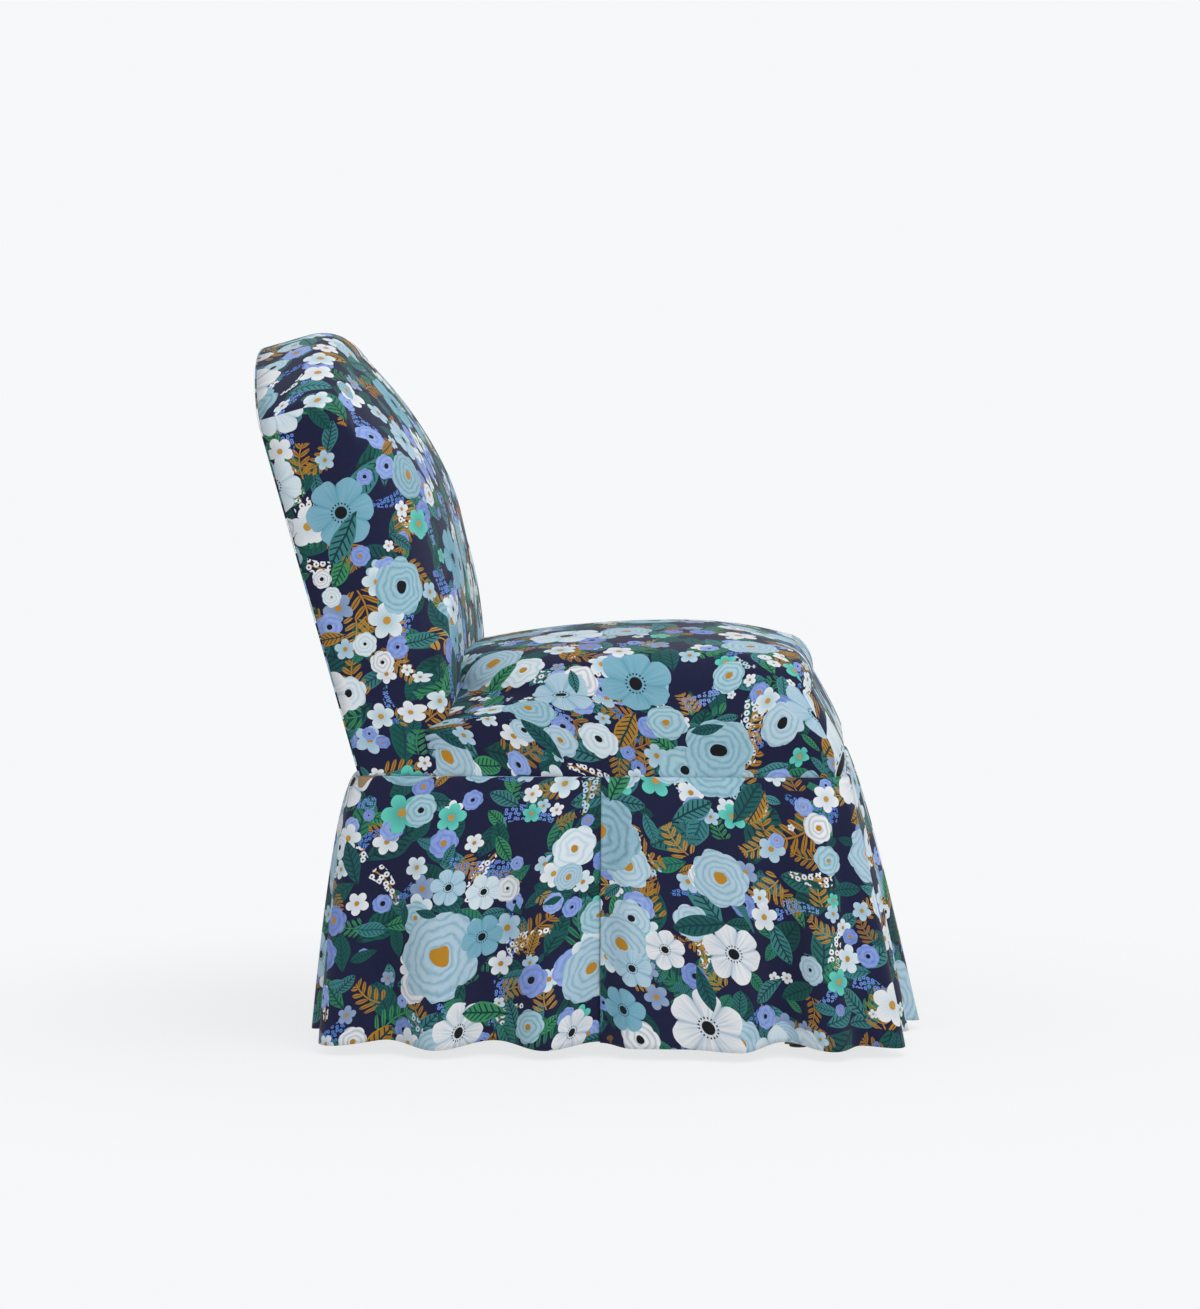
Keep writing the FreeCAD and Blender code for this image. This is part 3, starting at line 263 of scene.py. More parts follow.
def anemones(under, spacing, shift, petals, kept, colours, shades):
    """Wide open flowers: broad blunt petals with fine strokes from a black heart."""
    _, _, radius, angle, share = scattered(spacing, shift, 0.8)
    edge = petal_edge(angle, petals, 0.45, 0.30)
    inside = both(add(cloth, "LESS_THAN", radius, edge), add(cloth, "LESS_THAN", share[2], kept))
    fan = add(cloth, "CombineXYZ", add(cloth, "MULTIPLY", angle, 9.0), add(cloth, "MULTIPLY", radius, 1.2))
    rays = add(cloth, "TexNoise", fan, noise_dimensions="2D", Scale=1.0, Detail=1.0)
    rays = add(cloth, "MULTIPLY_ADD", rays, 2.6, -0.85, use_clamp=True)
    between = add(cloth, "ABSOLUTE", add(cloth, "SINE", add(cloth, "MULTIPLY", angle, petals / 2)))
    crease = add(cloth, "MULTIPLY", add(cloth, "POWER", between, 24.0), 0.9)
    inner = add(cloth, "SUBTRACT", 1.05, radius)
    shade = add(cloth, "MAXIMUM", both(rays, inner), crease)
    tone = painted(chosen(share[1], colours), shade, chosen(share[1], shades))
    ring = both(add(cloth, "LESS_THAN", add(cloth, "ABSOLUTE", add(cloth, "SUBTRACT", radius, 0.25)), 0.025),
                add(cloth, "GREATER_THAN", add(cloth, "SINE", add(cloth, "MULTIPLY", angle, 17.0)), 0.2))
    heart = add(cloth, "MAXIMUM", add(cloth, "LESS_THAN", radius, 0.17), ring)
    return painted(under, inside, painted(tone, heart, linear("#0B0B12")))


GROUND = "#15193A"
ICE = "#DCE8EE"
PALE = "#B4CFE0"
WHITE = "#E9EBEE"
DUSTY = "#7FB2C6"
TEAL = "#3F8284"
SAPPHIRE = ("#6D8FDC", "#7F9FE2", "#5A7FD0")
ground = painted(linear(GROUND), stroke, linear("#12173A"))
ground = leaves(ground, 0.078, 0.11, 0.50, 1.0, ("#11584F", "#164F52", "#0F4A45"), "#0B2F35")
ground = leaves(ground, 0.066, 0.57, 0.44, 0.90, (TEAL, "#2C6E68", "#11584F", "#2F7F5A"), "#123F47")
ground = leaves(ground, 0.056, 7.03, 0.40, 0.70, ("#1B5A5C", "#3B7A80", "#3E9460"), "#0F3A40")
ground = sprigs(ground, 0.064, 0.93, 0.70, ("#B98424", "#A8762A", "#2F7F5A"))
ground = dotted(ground, 0.080, 1.31, 0.0052, 0.24, 0.55, SAPPHIRE, "#11584F")
ground = leaves(ground, 0.052, 1.83, 0.40, 0.45, ("#4C8E93", TEAL, "#2F7F5A"), "#16505A")
ground = dotted(ground, 0.070, 2.17, 0.0085, 0.26, 0.30, (WHITE, ICE, PALE), "#B98424")
ground = sprigs(ground, 0.052, 2.71, 0.50, ("#B98424", "#C2913A", "#3E9460"))
ground = florets(ground, 0.036, 3.13, 5, 0.42, 0.32, (WHITE, PALE, "#8FA4C4", ICE),
                 (PALE, DUSTY, "#6C86B4", PALE), "#B98424")
ground = rosettes(ground, 0.040, 3.67, 2.6, 0.32, SAPPHIRE, ("#4A6CC4", "#5A7FD0", "#3F60B0"),
                  ("#0B0B12", "#0B0B12", "#B98424"))
ground = leaves(ground, 0.066, 4.29, 0.38, 0.45, (TEAL, "#11584F", "#B98424", "#3B7A80"), "#0F3A40")
ground = florets(ground, 0.048, 4.03, 5, 0.40, 0.26, (WHITE, ICE, "#62CDBD"), (PALE, DUSTY, TEAL), "#C2913A")
ground = rosettes(ground, 0.060, 4.57, 3.4, 0.32, (WHITE, PALE, "#9CC7D6", ICE),
                  ("#A9B6C4", DUSTY, "#5F9DB3", PALE), ("#0B0B12", "#B98424", "#0B0B12"))
ground = rosettes(ground, 0.098, 5.11, 5.0, 0.38, ("#A6C6D8", "#8FBFD0", DUSTY),
                  ("#6FA5BC", "#5A97AE", "#4A8299"), ("#B98424", "#0B0B12", "#B98424"))
ground = anemones(ground, 0.098, 5.71, 6, 0.34, (ICE, PALE, WHITE, DUSTY),
                  (PALE, DUSTY, "#A9BED0", "#5F9DB3"))
ground = leaves(ground, 0.070, 6.31, 0.36, 0.22, (TEAL, "#1B5A5C", "#3E9460"), "#0F3A40")

# The threads are 0.5 mm apart, too fine to show, so the weave is drawn at 1.6 mm.
WEAVE = 0.0016
threads = add(cloth, "VectorMath", flat_cloth, Scale=2 * math.pi / WEAVE, operation="SCALE")
thread = add(cloth, "SeparateXYZ", threads).node.outputs
weave = both(add(cloth, "SINE", thread[0]), add(cloth, "SINE", thread[1]))
weave = add(cloth, "ADD", weave, add(cloth, "MULTIPLY", stroke, 1.4))
cloth.links.new(ground, canvas_shader.inputs["Base Color"])
cloth.links.new(add(cloth, "MULTIPLY_ADD", stroke, 0.1, 0.80), canvas_shader.inputs["Roughness"])
relief = add(cloth, "Bump", Height=weave, Distance=0.00012, Strength=0.5)
cloth.links.new(relief, canvas_shader.inputs["Normal"])
canvas_shader.inputs["Specular IOR Level"].default_value = 0.25
canvas_shader.inputs["Sheen Weight"].default_value = 0.08
canvas_shader.inputs["Sheen Roughness"].default_value = 0.5

# Seat: one cloth pulled over wadding and foam on the sprung box, tacked under the rails, pleated at
# the two front corners, and tucked down behind where it meets the back.
seat_low, seat_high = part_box("seat_cover")
strip_low, strip_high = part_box("skirt_tack_strip")
STRIP = 0.0012
SEAM = strip_high.z
REAR = seat_high.y
FRONT = seat_low.y
HALF = (strip_high.x - strip_low.x) / 2 - STRIP
BOX_TOP = SEAM + 0.025
EDGE = SEAM + 0.098
CREST = seat_high.z
FRONT_LEAN = 0.037
LEAN_POWER = 1.15
# How far the sides stand out at the rounded edge, and the height of their belly below it.
SIDE_SWELL = 0.0024
SIDE_BELLY = 0.0192
REAR_LEAN = 0.092
SEAT_CORNER = 0.045
REAR_CORNER = 0.006
TAIL_ROUND = 0.150
SEAT_ROUND = 0.042
SEAT_ROUND_RISE = 0.050
ROUND_END = math.radians(70)
CREST_Y = REAR - 0.365
CORNER_SOFTENING = 0.78
UPHOLSTERY = 0.002

# The back's own leaning axes, used by the seat where the two meet.
RAKE = math.radians(15.75)
BACK_HEIGHT = 0.522
BACK_TAIL = 0.090
ARCH_RISE = 0.093
SHOULDER = 0.030
FOOT_ROUND = 0.040
SIDE_JOINT = 0.0863
BACK_CREST = 0.153
WIDENING = 0.0536
CREST_UP = 0.250
# How the sides' rounding fades out at the back's foot: where, over what height, and what stays.
FADE_FROM = 0.02
FADE_OVER = 0.10
FADED = 0.1
# Where seat and back meet: how far the seat's cloth goes into the back, over what length it is drawn
# in, the height that the back's cloth goes down to inside the seat, and the room above the seam.
TUCK = 0.002
TUCK_OVER = 0.012
TUCKED_HEIGHT = 0.356
ABOVE_SEAM = 0.0005
# Each rounded edge of the back: how far ahead it starts, its radius, where it ends, and how fast the
# crown beyond it rises.
TOP_EDGE = (0.031, 0.055, math.radians(75), 2.0)
SIDE_EDGE = (0.054, 0.075, math.radians(56), 4.0)


def in_back(y, z):
    """How far up the back's rear face, and how far ahead of it, a point of the chair lies."""
    up = (y - REAR) * math.sin(RAKE) + (z - SEAM) * math.cos(RAKE)
    ahead = (z - SEAM) * math.sin(RAKE) - (y - REAR) * math.cos(RAKE)
    return up, ahead


def from_back(up, ahead):
    """The chair's y and z of a place given in the back's axes."""
    y = REAR - ahead * math.cos(RAKE) + up * math.sin(RAKE)
    z = SEAM + ahead * math.sin(RAKE) + up * math.cos(RAKE)
    return y, z


def smooth(share):
    """A share that starts and ends gently."""
    held = np.clip(share, 0.0, 1.0)
    return held * held * (3 - 2 * held)


def drawn_side(up, drawn):
    """Half the back's width at a height where its rounded edge has come in by drawn."""
    return HALF - drawn * (FADED + (1 - FADED) * smooth((up - FADE_FROM) / FADE_OVER))


def rounded_edge(ahead, start, radius, last_angle, power):
    """How far the back's outline has come in at a plane, and its share of that on the crown beyond."""
    end = start + radius * math.sin(last_angle)
    turned = np.clip((ahead - start) / radius, 0, math.sin(last_angle))
    share = np.clip(1 - (ahead - end) / (BACK_CREST - end), 0, 1) ** (1 / power)
    return radius * (1 - np.sqrt(1 - turned ** 2)), share


def plan_columns(straight_x, straight_y, bend):
    """Columns round a rounded plan: two corners, the share between them, the outward turn, and marks.

    Corners count from the rear left round over the right side. Each front corner has the column at its
    pleat twice, and the second of the two is marked.
    """
    first, second, share, turn = [], [], [], []
    for corner in range(4):
        stretch = straight_x if corner % 2 == 0 else straight_y
        turns = np.linspace(0, 90, bend + 1) + 90 * corner
        if corner >= 2:
            turns = np.sort(np.append(turns, 90 * corner + 45))
        first += [corner] * (len(turns) + stretch - 1)
        second += [corner] * len(turns) + [(corner + 1) % 4] * (stretch - 1)
        share += [0.0] * len(turns) + list(np.linspace(0, 1, stretch + 1)[1:-1])
        turn += list(turns) + [90 * corner + 90] * (stretch - 1)
    marks = np.zeros(len(first), bool)
    marks[[first.index(corner) + bend // 2 + 1 for corner in (2, 3)]] = True
    return np.array(first), np.array(second), np.array(share), np.radians(turn), marks


def piece(name, points, chart, left_out, closed):
    """A mesh from a grid of points (rows by columns) with the print's place at each, in metres.

    left_out marks the grid's cells that have no cloth. Rows run up and columns round to the left seen
    from outside, so faces point out. Points that coincide are merged, and the cloth's own places stay.
    """
    rows, columns = points.shape[:2]
    index = np.arange(rows * columns).reshape(rows, columns)
    after = np.roll(index, -1, axis=1) if closed else index[:, 1:]
    here = index if closed else index[:, :-1]
    quads = np.stack([here[:-1], after[:-1], after[1:], here[1:]], axis=-1)
    quads = quads[~left_out].reshape(-1, 4)
    mesh = bpy.data.meshes.new(name)
    mesh.from_pydata(points.reshape(-1, 3), [], quads)
    places = chart.reshape(-1, 2)[quads.ravel()]
    mesh.uv_layers.new(name="cloth").data.foreach_set("uv", places.astype(np.float32).ravel())
    mesh.polygons.foreach_set("use_smooth", np.ones(len(quads), bool))
    work = bmesh.new()
    work.from_mesh(mesh)
    bmesh.ops.remove_doubles(work, verts=work.verts, dist=0.00002)
    bmesh.ops.dissolve_degenerate(work, edges=work.edges, dist=0.00002)
    loose = [vertex for vertex in work.verts if not vertex.link_faces]
    bmesh.ops.delete(work, geom=loose, context="VERTS")
    work.to_mesh(mesh)
    work.free()
    made = bpy.data.objects.new(name, mesh)
    bpy.context.scene.collection.objects.link(made)
    return made


def thicken(made, thickness):
    """Give a piece of cloth its thickness, inwards from its face."""
    wall = made.modifiers.new("thickness", "SOLIDIFY")
    wall.thickness = thickness
    wall.offset = -1.0


first, second, share, turn, doubled = plan_columns(54, 56, 16)
wall_share = np.concatenate([np.linspace(0, 1, 15), np.linspace(1, 2, 11)[1:]])
# Wall rows stand from the tacked foot to the seam, and from the seam to the rounded edge.
wall_z = np.where(wall_share < 1, seat_low.z + (SEAM - seat_low.z) * wall_share,
                  SEAM + (EDGE - SEAM) * (wall_share - 1))
lean = np.clip((wall_z - BOX_TOP) / (EDGE - BOX_TOP), 0, 1)
wall_front = FRONT + FRONT_LEAN * lean ** LEAN_POWER
wall_rear = REAR - REAR_LEAN * lean
wall_half = HALF + SIDE_SWELL * lean + SIDE_BELLY * lean * (1 - lean)
wall_corner = np.full_like(wall_z, SEAT_CORNER)
wall_tail = REAR_CORNER + TAIL_ROUND * lean
bow = np.linspace(0, ROUND_END, 10)[1:]
inwards = SEAT_ROUND * (1 - np.cos(bow))
bow_rows = (EDGE + SEAT_ROUND_RISE * np.sin(bow), wall_front[-1] + inwards, wall_rear[-1] - inwards,
            wall_half[-1] - inwards, wall_corner[-1] + inwards, wall_tail[-1] + inwards)
crown = np.linspace(1, 0, 22)[1:]
crown_z = bow_rows[0][-1] + (CREST - bow_rows[0][-1]) * (1 - crown ** 2)


def toward_crest(value, middle=0.0):
    """A size of the last rounded row, drawn in to the crest by the crown's shares."""
    return middle + (value - middle) * crown


def softened(value):
    """A corner radius that grows as the outline shrinks towards the crest."""
    return crown * (value + (CORNER_SOFTENING * bow_rows[3][-1] - value) * (1 - crown))


levels = [np.concatenate(parts)[:, None] for parts in (
    (wall_z, bow_rows[0], crown_z),
    (wall_front, bow_rows[1], toward_crest(bow_rows[1][-1], CREST_Y)),
    (wall_rear, bow_rows[2], toward_crest(bow_rows[2][-1], CREST_Y)),
    (wall_half, bow_rows[3], toward_crest(bow_rows[3][-1])),
    (wall_corner, bow_rows[4], softened(bow_rows[4][-1])),
    (wall_tail, bow_rows[5], softened(bow_rows[5][-1])))]
z, front, rear, half, front_round, rear_round = levels
round_off = np.hstack([rear_round, rear_round, front_round, front_round])
corner_x = np.hstack([half, -half, -half, half]) + round_off * np.array([-1, 1, 1, -1])
corner_y = np.hstack([rear, rear, front, front]) + round_off * np.array([-1, -1, 1, 1])
radius = round_off[:, first] * (1 - share) + round_off[:, second] * share
seat_x = corner_x[:, first] * (1 - share) + corner_x[:, second] * share + radius * np.cos(turn)
seat_y = corner_y[:, first] * (1 - share) + corner_y[:, second] * share + radius * np.sin(turn)
seat_z = np.broadcast_to(z, seat_x.shape).copy()

# The cloth's own places: level over the crown, then unfolded down the sides and down the front.
shoulder_row = len(wall_z) + len(bow) - 1
steps = np.sqrt(np.diff(seat_x, axis=0) ** 2 + np.diff(seat_y, axis=0) ** 2 + np.diff(seat_z, axis=0) ** 2)
run_down = np.zeros_like(seat_x)
run_down[:shoulder_row] = np.cumsum(steps[:shoulder_row][::-1], axis=0)[::-1]
position = np.arange(len(first))
pleats = np.flatnonzero(doubled)
at_front = (position >= pleats[0]) & (position < pleats[1])
over = (np.arange(len(seat_x)) >= shoulder_row)[:, None]
side_v = np.sign(seat_x) * (np.abs(seat_x[shoulder_row]) + run_down)
front_u = seat_y[shoulder_row] - run_down
chart_u = np.where(over | ~at_front, seat_y, front_u)
chart_v = np.where(over | at_front, seat_x, side_v)

# Near the back the sides are drawn in to the back's own, and above the seam the cloth ends inside it.
up, ahead = in_back(seat_y, seat_z)
before = ahead - SIDE_JOINT - WIDENING * up
back_half = drawn_side(up, rounded_edge(ahead - WIDENING * up, *SIDE_EDGE)[0])
pinch = np.maximum(np.abs(seat_x) - back_half + TUCK, 0) * smooth(1 - before / TUCK_OVER)
seat_x = seat_x - np.sign(seat_x) * np.where(seat_z > SEAM + ABOVE_SEAM, pinch, 0)
gone = np.zeros((len(seat_x) - 1, len(first)), bool)
gone[:, pleats - 1] = True
seat = piece("seat_upholstery", np.stack([seat_x, seat_y, seat_z], axis=-1),
             np.stack([chart_u, chart_v], axis=-1), gone, True)
joint = Vector((0, *from_back(0, SIDE_JOINT)))
facing = Vector((0, -math.cos(RAKE) - WIDENING * math.sin(RAKE), math.sin(RAKE) - WIDENING * math.cos(RAKE)))


def above_seam(mesh):
    """The faces that stand wholly above the seam, give or take a tenth of a millimetre."""
    return [face for face in mesh.faces if min(corner.co.z for corner in face.verts) > SEAM - 0.0001]


work = bmesh.new()
work.from_mesh(seat.data)
upper = above_seam(work)
bounds = {edge for face in upper for edge in face.edges} | {corner for face in upper for corner in face.verts}
bmesh.ops.bisect_plane(work, geom=upper + list(bounds), plane_co=joint, plane_no=facing)
behind = [face for face in above_seam(work) if (face.calc_center_median() - joint).dot(facing) < 0]
bmesh.ops.delete(work, geom=behind, context="FACES")
work.to_mesh(seat.data)
work.free()
seat.data.materials.append(printed_canvas)
thicken(seat, UPHOLSTERY)
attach(seat, "root")
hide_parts("seat_cover", "seat_wadding", "seat_foam")

# Back: one cloth over wadding and foam in front of the raked frame, its sides and arched top drawn
# round to the rear edge and tacked there, its foot pulled down behind the seat.
FOOT_DRAWN_IN = 0.2
FOOT_SOFTENING = 0.030
SHOULDER_SOFTENING = 0.5
REAR_PLANES = (0.002, 0.012, 0.022)


def back_outline(side_in, width_share, top_in, height_share):
    """Face outline of the back, once round from the middle of its foot up the left side.

    side_in and top_in are how far the rounded edges have come in, and the shares how far the outline
    has shrunk to the crest, one row each. Foot and sides are straight, shoulders and arch are arcs. The
    column in the middle of each shoulder comes twice.
    """
    radius = (HALF ** 2 + ARCH_RISE ** 2) / (2 * ARCH_RISE) - top_in
    narrow = HALF - side_in
    bend = SHOULDER + SHOULDER_SOFTENING * HALF * (1 - height_share)
    middle = BACK_HEIGHT - top_in - radius
    pivot = np.sqrt((radius - bend) ** 2 - (narrow - bend) ** 2)
    end = np.arctan2(pivot, narrow - bend)
    foot = -BACK_TAIL + FOOT_DRAWN_IN * top_in
    toe = FOOT_ROUND + top_in / 2 + FOOT_SOFTENING * (1 - height_share)
    low = drawn_side(foot, side_in)
    even = np.linspace(0, 1, 25)[:-1]
    swing = np.linspace(0, math.pi / 2, 9)[:-1]
    rise = np.linspace(0, 1, 49)[:-1]
    curl = np.sort(np.append(np.linspace(0, 1, 13), 0.5))[:-1] * end
    arch = end + (math.pi / 2 - end) * np.linspace(0, 1, 29)
    side_up = foot + toe + (middle + pivot - foot - toe) * rise
    u = np.hstack([(low - toe) * even, low - toe + toe * np.sin(swing), drawn_side(side_up, side_in),
                   narrow - bend + bend * np.cos(curl), radius * np.cos(arch)])
    v = np.hstack([foot + 0 * even + 0 * toe, foot + toe - toe * np.cos(swing), side_up,
                   middle + pivot + bend * np.sin(curl), middle + radius * np.sin(arch)])
    doubled = len(even) + len(swing) + len(rise) + 7
    u = np.hstack([u, -u[:, -2:0:-1]]) * width_share
    v = CREST_UP + (np.hstack([v, v[:, -2:0:-1]]) - CREST_UP) * height_share
    return u, v, (doubled, u.shape[1] - doubled + 1)


def edge_planes(start, radius, last_angle, power):
    """The planes at which one rounded edge and the crown beyond it are drawn, and where the edge ends."""
    end = start + radius * math.sin(last_angle)
    rounded = start + radius * np.sin(np.linspace(0, last_angle, 11))
    crown = end + (BACK_CREST - end) * (1 - np.linspace(1, 0, 24)[1:] ** power)
    return np.concatenate([rounded, crown]), end


def ended(up, ahead, lowest, splits):
    """The chair's y and z of a grid on the back that ends at a lowest z, and the cells with no cloth."""
    lowest_up = (lowest - SEAM - ahead * math.sin(RAKE)) / math.cos(RAKE)
    under = up < lowest_up
    after = np.roll(under, -1, axis=1)
    gone = under[:-1] & under[1:] & after[:-1] & after[1:]
    gone[:, [split - 1 for split in splits]] = True
    y, z = from_back(np.maximum(up, lowest_up), ahead)
    return y, z, gone


top_planes, top_end = edge_planes(*TOP_EDGE)
side_planes, side_end = edge_planes(*SIDE_EDGE)
planes = np.sort(np.concatenate([REAR_PLANES, top_planes, side_planes]))[:, None]
side_in, width_share = rounded_edge(planes, *SIDE_EDGE)
top_in, height_share = rounded_edge(planes, *TOP_EDGE)
u, v, splits = back_outline(side_in, width_share, top_in, height_share)
ahead = planes + WIDENING * v * smooth(planes / TOP_EDGE[0])
position = np.arange(u.shape[1])
on_top = (position >= splits[0]) & (position < splits[1])


def unfolded(places, end):
    """Distances along one axis, carried on over the rounded edge behind the plane where it ends."""
    row = int(np.searchsorted(planes[:, 0], end - 0.00001))
    steps = np.hypot(np.diff(places, axis=0), np.diff(ahead, axis=0))[:row]
    run = np.zeros_like(places)
    run[:row] = np.cumsum(steps[::-1], axis=0)[::-1]
    return np.where(run > 0, places[row] + np.sign(places[row]) * run, places)


chart_u = np.where(on_top, u, unfolded(u, side_end))
chart_v = np.where(on_top, unfolded(v, top_end), v)
lowest = SEAM + ABOVE_SEAM + (TUCKED_HEIGHT - SEAM) * smooth((ahead - SIDE_JOINT) / TUCK_OVER)
y, z, gone = ended(v, ahead, lowest, splits)
back = piece("back_upholstery", np.stack([u, y, z], axis=-1), np.stack([chart_u + 1.37, chart_v], axis=-1),
             gone, True)
back.data.materials.append(printed_canvas)
thicken(back, UPHOLSTERY)
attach(back, "root")
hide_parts("back_cover", "back_wadding", "back_foam")

# Outside back: a plain panel of the same cloth, its edges turned under and drawn up to the boxing's
# rear edge with a hidden strip, so that it lies almost flat.
HOLLOW = 0.003
TURNED_EDGE = 0.0018
OUTSIDE_CLOTH = 0.0015
# The panel's area is a little less than its width by its height, for the arch and the round corners.
grown = np.linspace(0, 1, 26)
hollow = -HOLLOW * (1 - grown ** 6)
shrunk = np.append(grown, 1.0)[:, None]
u, v, splits = back_outline(0 * shrunk, shrunk, 0 * shrunk, shrunk)
ahead = np.append(hollow, TURNED_EDGE)[:, None] + 0 * u
y, z, gone = ended(v, ahead, SEAM + ABOVE_SEAM, splits)
outside = piece("outside_back", np.stack([u, y, z], axis=-1), np.stack([2.61 - u, v], axis=-1), gone, True)
outside.data.materials.append(printed_canvas)
thicken(outside, OUTSIDE_CLOTH)
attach(outside, "root")
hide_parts("outside_back_panel")

# Skirt: four flared widths of the cloth, joined in the middle of each side, gathered by hand into a
# flat seam over a card strip. The folds start small and open towards the hem.
HEM = 0.012
FLARE_SIDE = 0.070
FLARE_FRONT = 0.091
FLARE_REAR = 0.072
FOLD = 0.022
GATHER = 0.0015
CLEAR = 0.0003
CLOTH = 0.0016
CORNER_SHARE = 0.12
# How fast each side flares from the seam: the lower, the more of it comes high up.
SIDE_BELL = 0.62
FRONT_BELL = 0.85
REAR_BELL = 0.38
# The gathers at the seam: the puckers' height, how far down they last and their number in a width, the
# length that rolls in at the top, and how far the top laps over the seam.
PUCKER = 0.0011
PUCKER_LENGTH = 0.10
PUCKERS = 17
ROLL = 0.012
SEAM_LAP = 0.0008
# The hem stands higher by HEM_RISE, and lower at a crest by HEM_DIP.
HEM_RISE = 0.0015
HEM_DIP = 0.0035
# Crests and valleys of each width: where they lie between its two joins, and how far they stand out.
FOLDS = {
    "front_right": ((0.0, -0.55), (0.06, 0.45), (0.15, 0.45), (0.25, 1.0), (0.325, -0.95), (0.41, 0.75),
                    (0.46, -0.1), (0.52, 1.0), (0.60, -0.9), (0.70, 0.3), (0.79, -0.7), (0.89, 1.0),
                    (1.0, -0.8)),
    "rear_right": ((0.0, -0.75), (0.10, 0.9), (0.195, -0.85), (0.30, 1.0), (0.395, -0.8), (0.50, 1.0),
                   (0.61, -1.0), (0.70, 0.8), (0.80, -0.95), (0.89, 0.85), (1.0, -0.75)),
    "rear_left": ((0.0, -0.8), (0.11, 0.95), (0.21, -0.9), (0.29, 0.75), (0.40, -1.0), (0.50, 1.0),
                  (0.59, -0.8), (0.71, 1.0), (0.81, -0.85), (0.91, 0.8), (1.0, -0.75)),
    "front_left": ((0.0, -0.8), (0.09, 0.85), (0.20, -1.0), (0.31, 0.9), (0.40, -0.8), (0.49, 1.0),
                   (0.60, -0.9), (0.69, 0.95), (0.80, -0.75), (0.90, 0.9), (1.0, -0.8)),
}
HANDS = {"rear_left": (1, 1), "rear_right": (-1, 1), "front_right": (-1, -1), "front_left": (1, -1)}
ACROSS = np.linspace(0, 1, 241)
DOWN = np.concatenate([[0, 0.0004, 0.002, 0.006, 0.012], np.linspace(0, 1, 46)[1:]])


def skirt_width(label, inside):
    """Points of one skirt width, rows from the hem up.

    The base outline grows downwards like a bell. A fold stands out from it by its share of the fold
    depth, eased between crest and valley by a cosine. inside moves the surface in along its own
    outward direction.
    """
    hand_x, hand_y = HANDS[label]
    drop = DOWN[::-1, None]
    root = STRIP + CLEAR + CLOTH + GATHER
    grow_x = root + (FLARE_SIDE - FOLD - root) * drop ** SIDE_BELL
    end_flare, end_power = (FLARE_FRONT, FRONT_BELL) if hand_y < 0 else (FLARE_REAR, REAR_BELL)
    grow_y = root + (end_flare - FOLD - root) * drop ** end_power
    corner = SEAT_CORNER + (grow_x + grow_y) / 2
    half_y = (REAR - FRONT) / 2
    side_run = half_y + grow_y - corner
    end_run = HALF + grow_x - corner
    angle = np.clip((ACROSS - 0.5 + CORNER_SHARE) / (2 * CORNER_SHARE), 0, 1) * math.pi / 2
    out_x, out_y = np.cos(angle), np.sin(angle)
    along_side = np.clip(ACROSS / (0.5 - CORNER_SHARE), 0, 1)
    along_end = np.clip((1 - ACROSS) / (0.5 - CORNER_SHARE), 0, 1)
    places, lifts = np.array(FOLDS[label]).T
    slot = np.clip(np.searchsorted(places, ACROSS, side="right") - 1, 0, len(places) - 2)
    within = (ACROSS - places[slot]) / (places[slot + 1] - places[slot])
    lift = lifts[slot] + (lifts[slot + 1] - lifts[slot]) * (1 - np.cos(math.pi * within)) / 2
    fold = (GATHER + (FOLD - GATHER) * drop ** 0.8) * lift
    beat = np.sin(2 * math.pi * PUCKERS * ACROSS + 3 * np.sin(23 * ACROSS))
    pucker = PUCKER * np.exp(-drop / PUCKER_LENGTH) * beat
    rolled = -(root - STRIP - CLOTH - CLEAR) * np.clip(1 - drop / ROLL, 0, 1) ** 2
    out = np.where(drop == 0, 0.0004 - root, fold + pucker + rolled)
    x = end_run * along_end + corner * out_x + out * out_x
    y = side_run * along_side + corner * out_y + out * out_y
    z = SEAM + SEAM_LAP - (SEAM - HEM) * drop + (HEM_RISE - HEM_DIP * lift) * drop ** 2 + 0 * x
    dx, dy = np.gradient(x, axis=1), np.gradient(y, axis=1)
    length = np.hypot(dx, dy)
    x, y = x - inside * dy / length, y + inside * dx / length
    points = np.stack([hand_x * x, (REAR + FRONT) / 2 + hand_y * y, z], axis=-1)
    return points if hand_x * hand_y > 0 else points[:, ::-1]


def unrolled(points):
    """Each point's place on the flat cloth: measured along its row from the middle, and up its column."""
    level = np.linalg.norm(np.diff(points, axis=1), axis=2)
    along = np.hstack([np.zeros((len(points), 1)), np.cumsum(level, axis=1)])
    along -= along[:, -1:] / 2
    upright = np.linalg.norm(np.diff(points, axis=0), axis=2).mean(axis=1)
    height = np.append(0, np.cumsum(upright))[:, None] + 0 * along
    return np.stack([along, height], axis=-1)


for number, label in enumerate(HANDS):
    points = skirt_width(label, 0.0)
    chart = unrolled(points)
    whole = np.zeros((len(points) - 1, points.shape[1] - 1), bool)
    width = piece("skirt_width_" + label, points, chart + np.array([3.9 + 1.31 * number, 0.77 * number]),
                  whole, False)
    width.data.materials.append(printed_canvas)
    thicken(width, CLOTH)
    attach(width, "root")
    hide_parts("skirt_" + label)

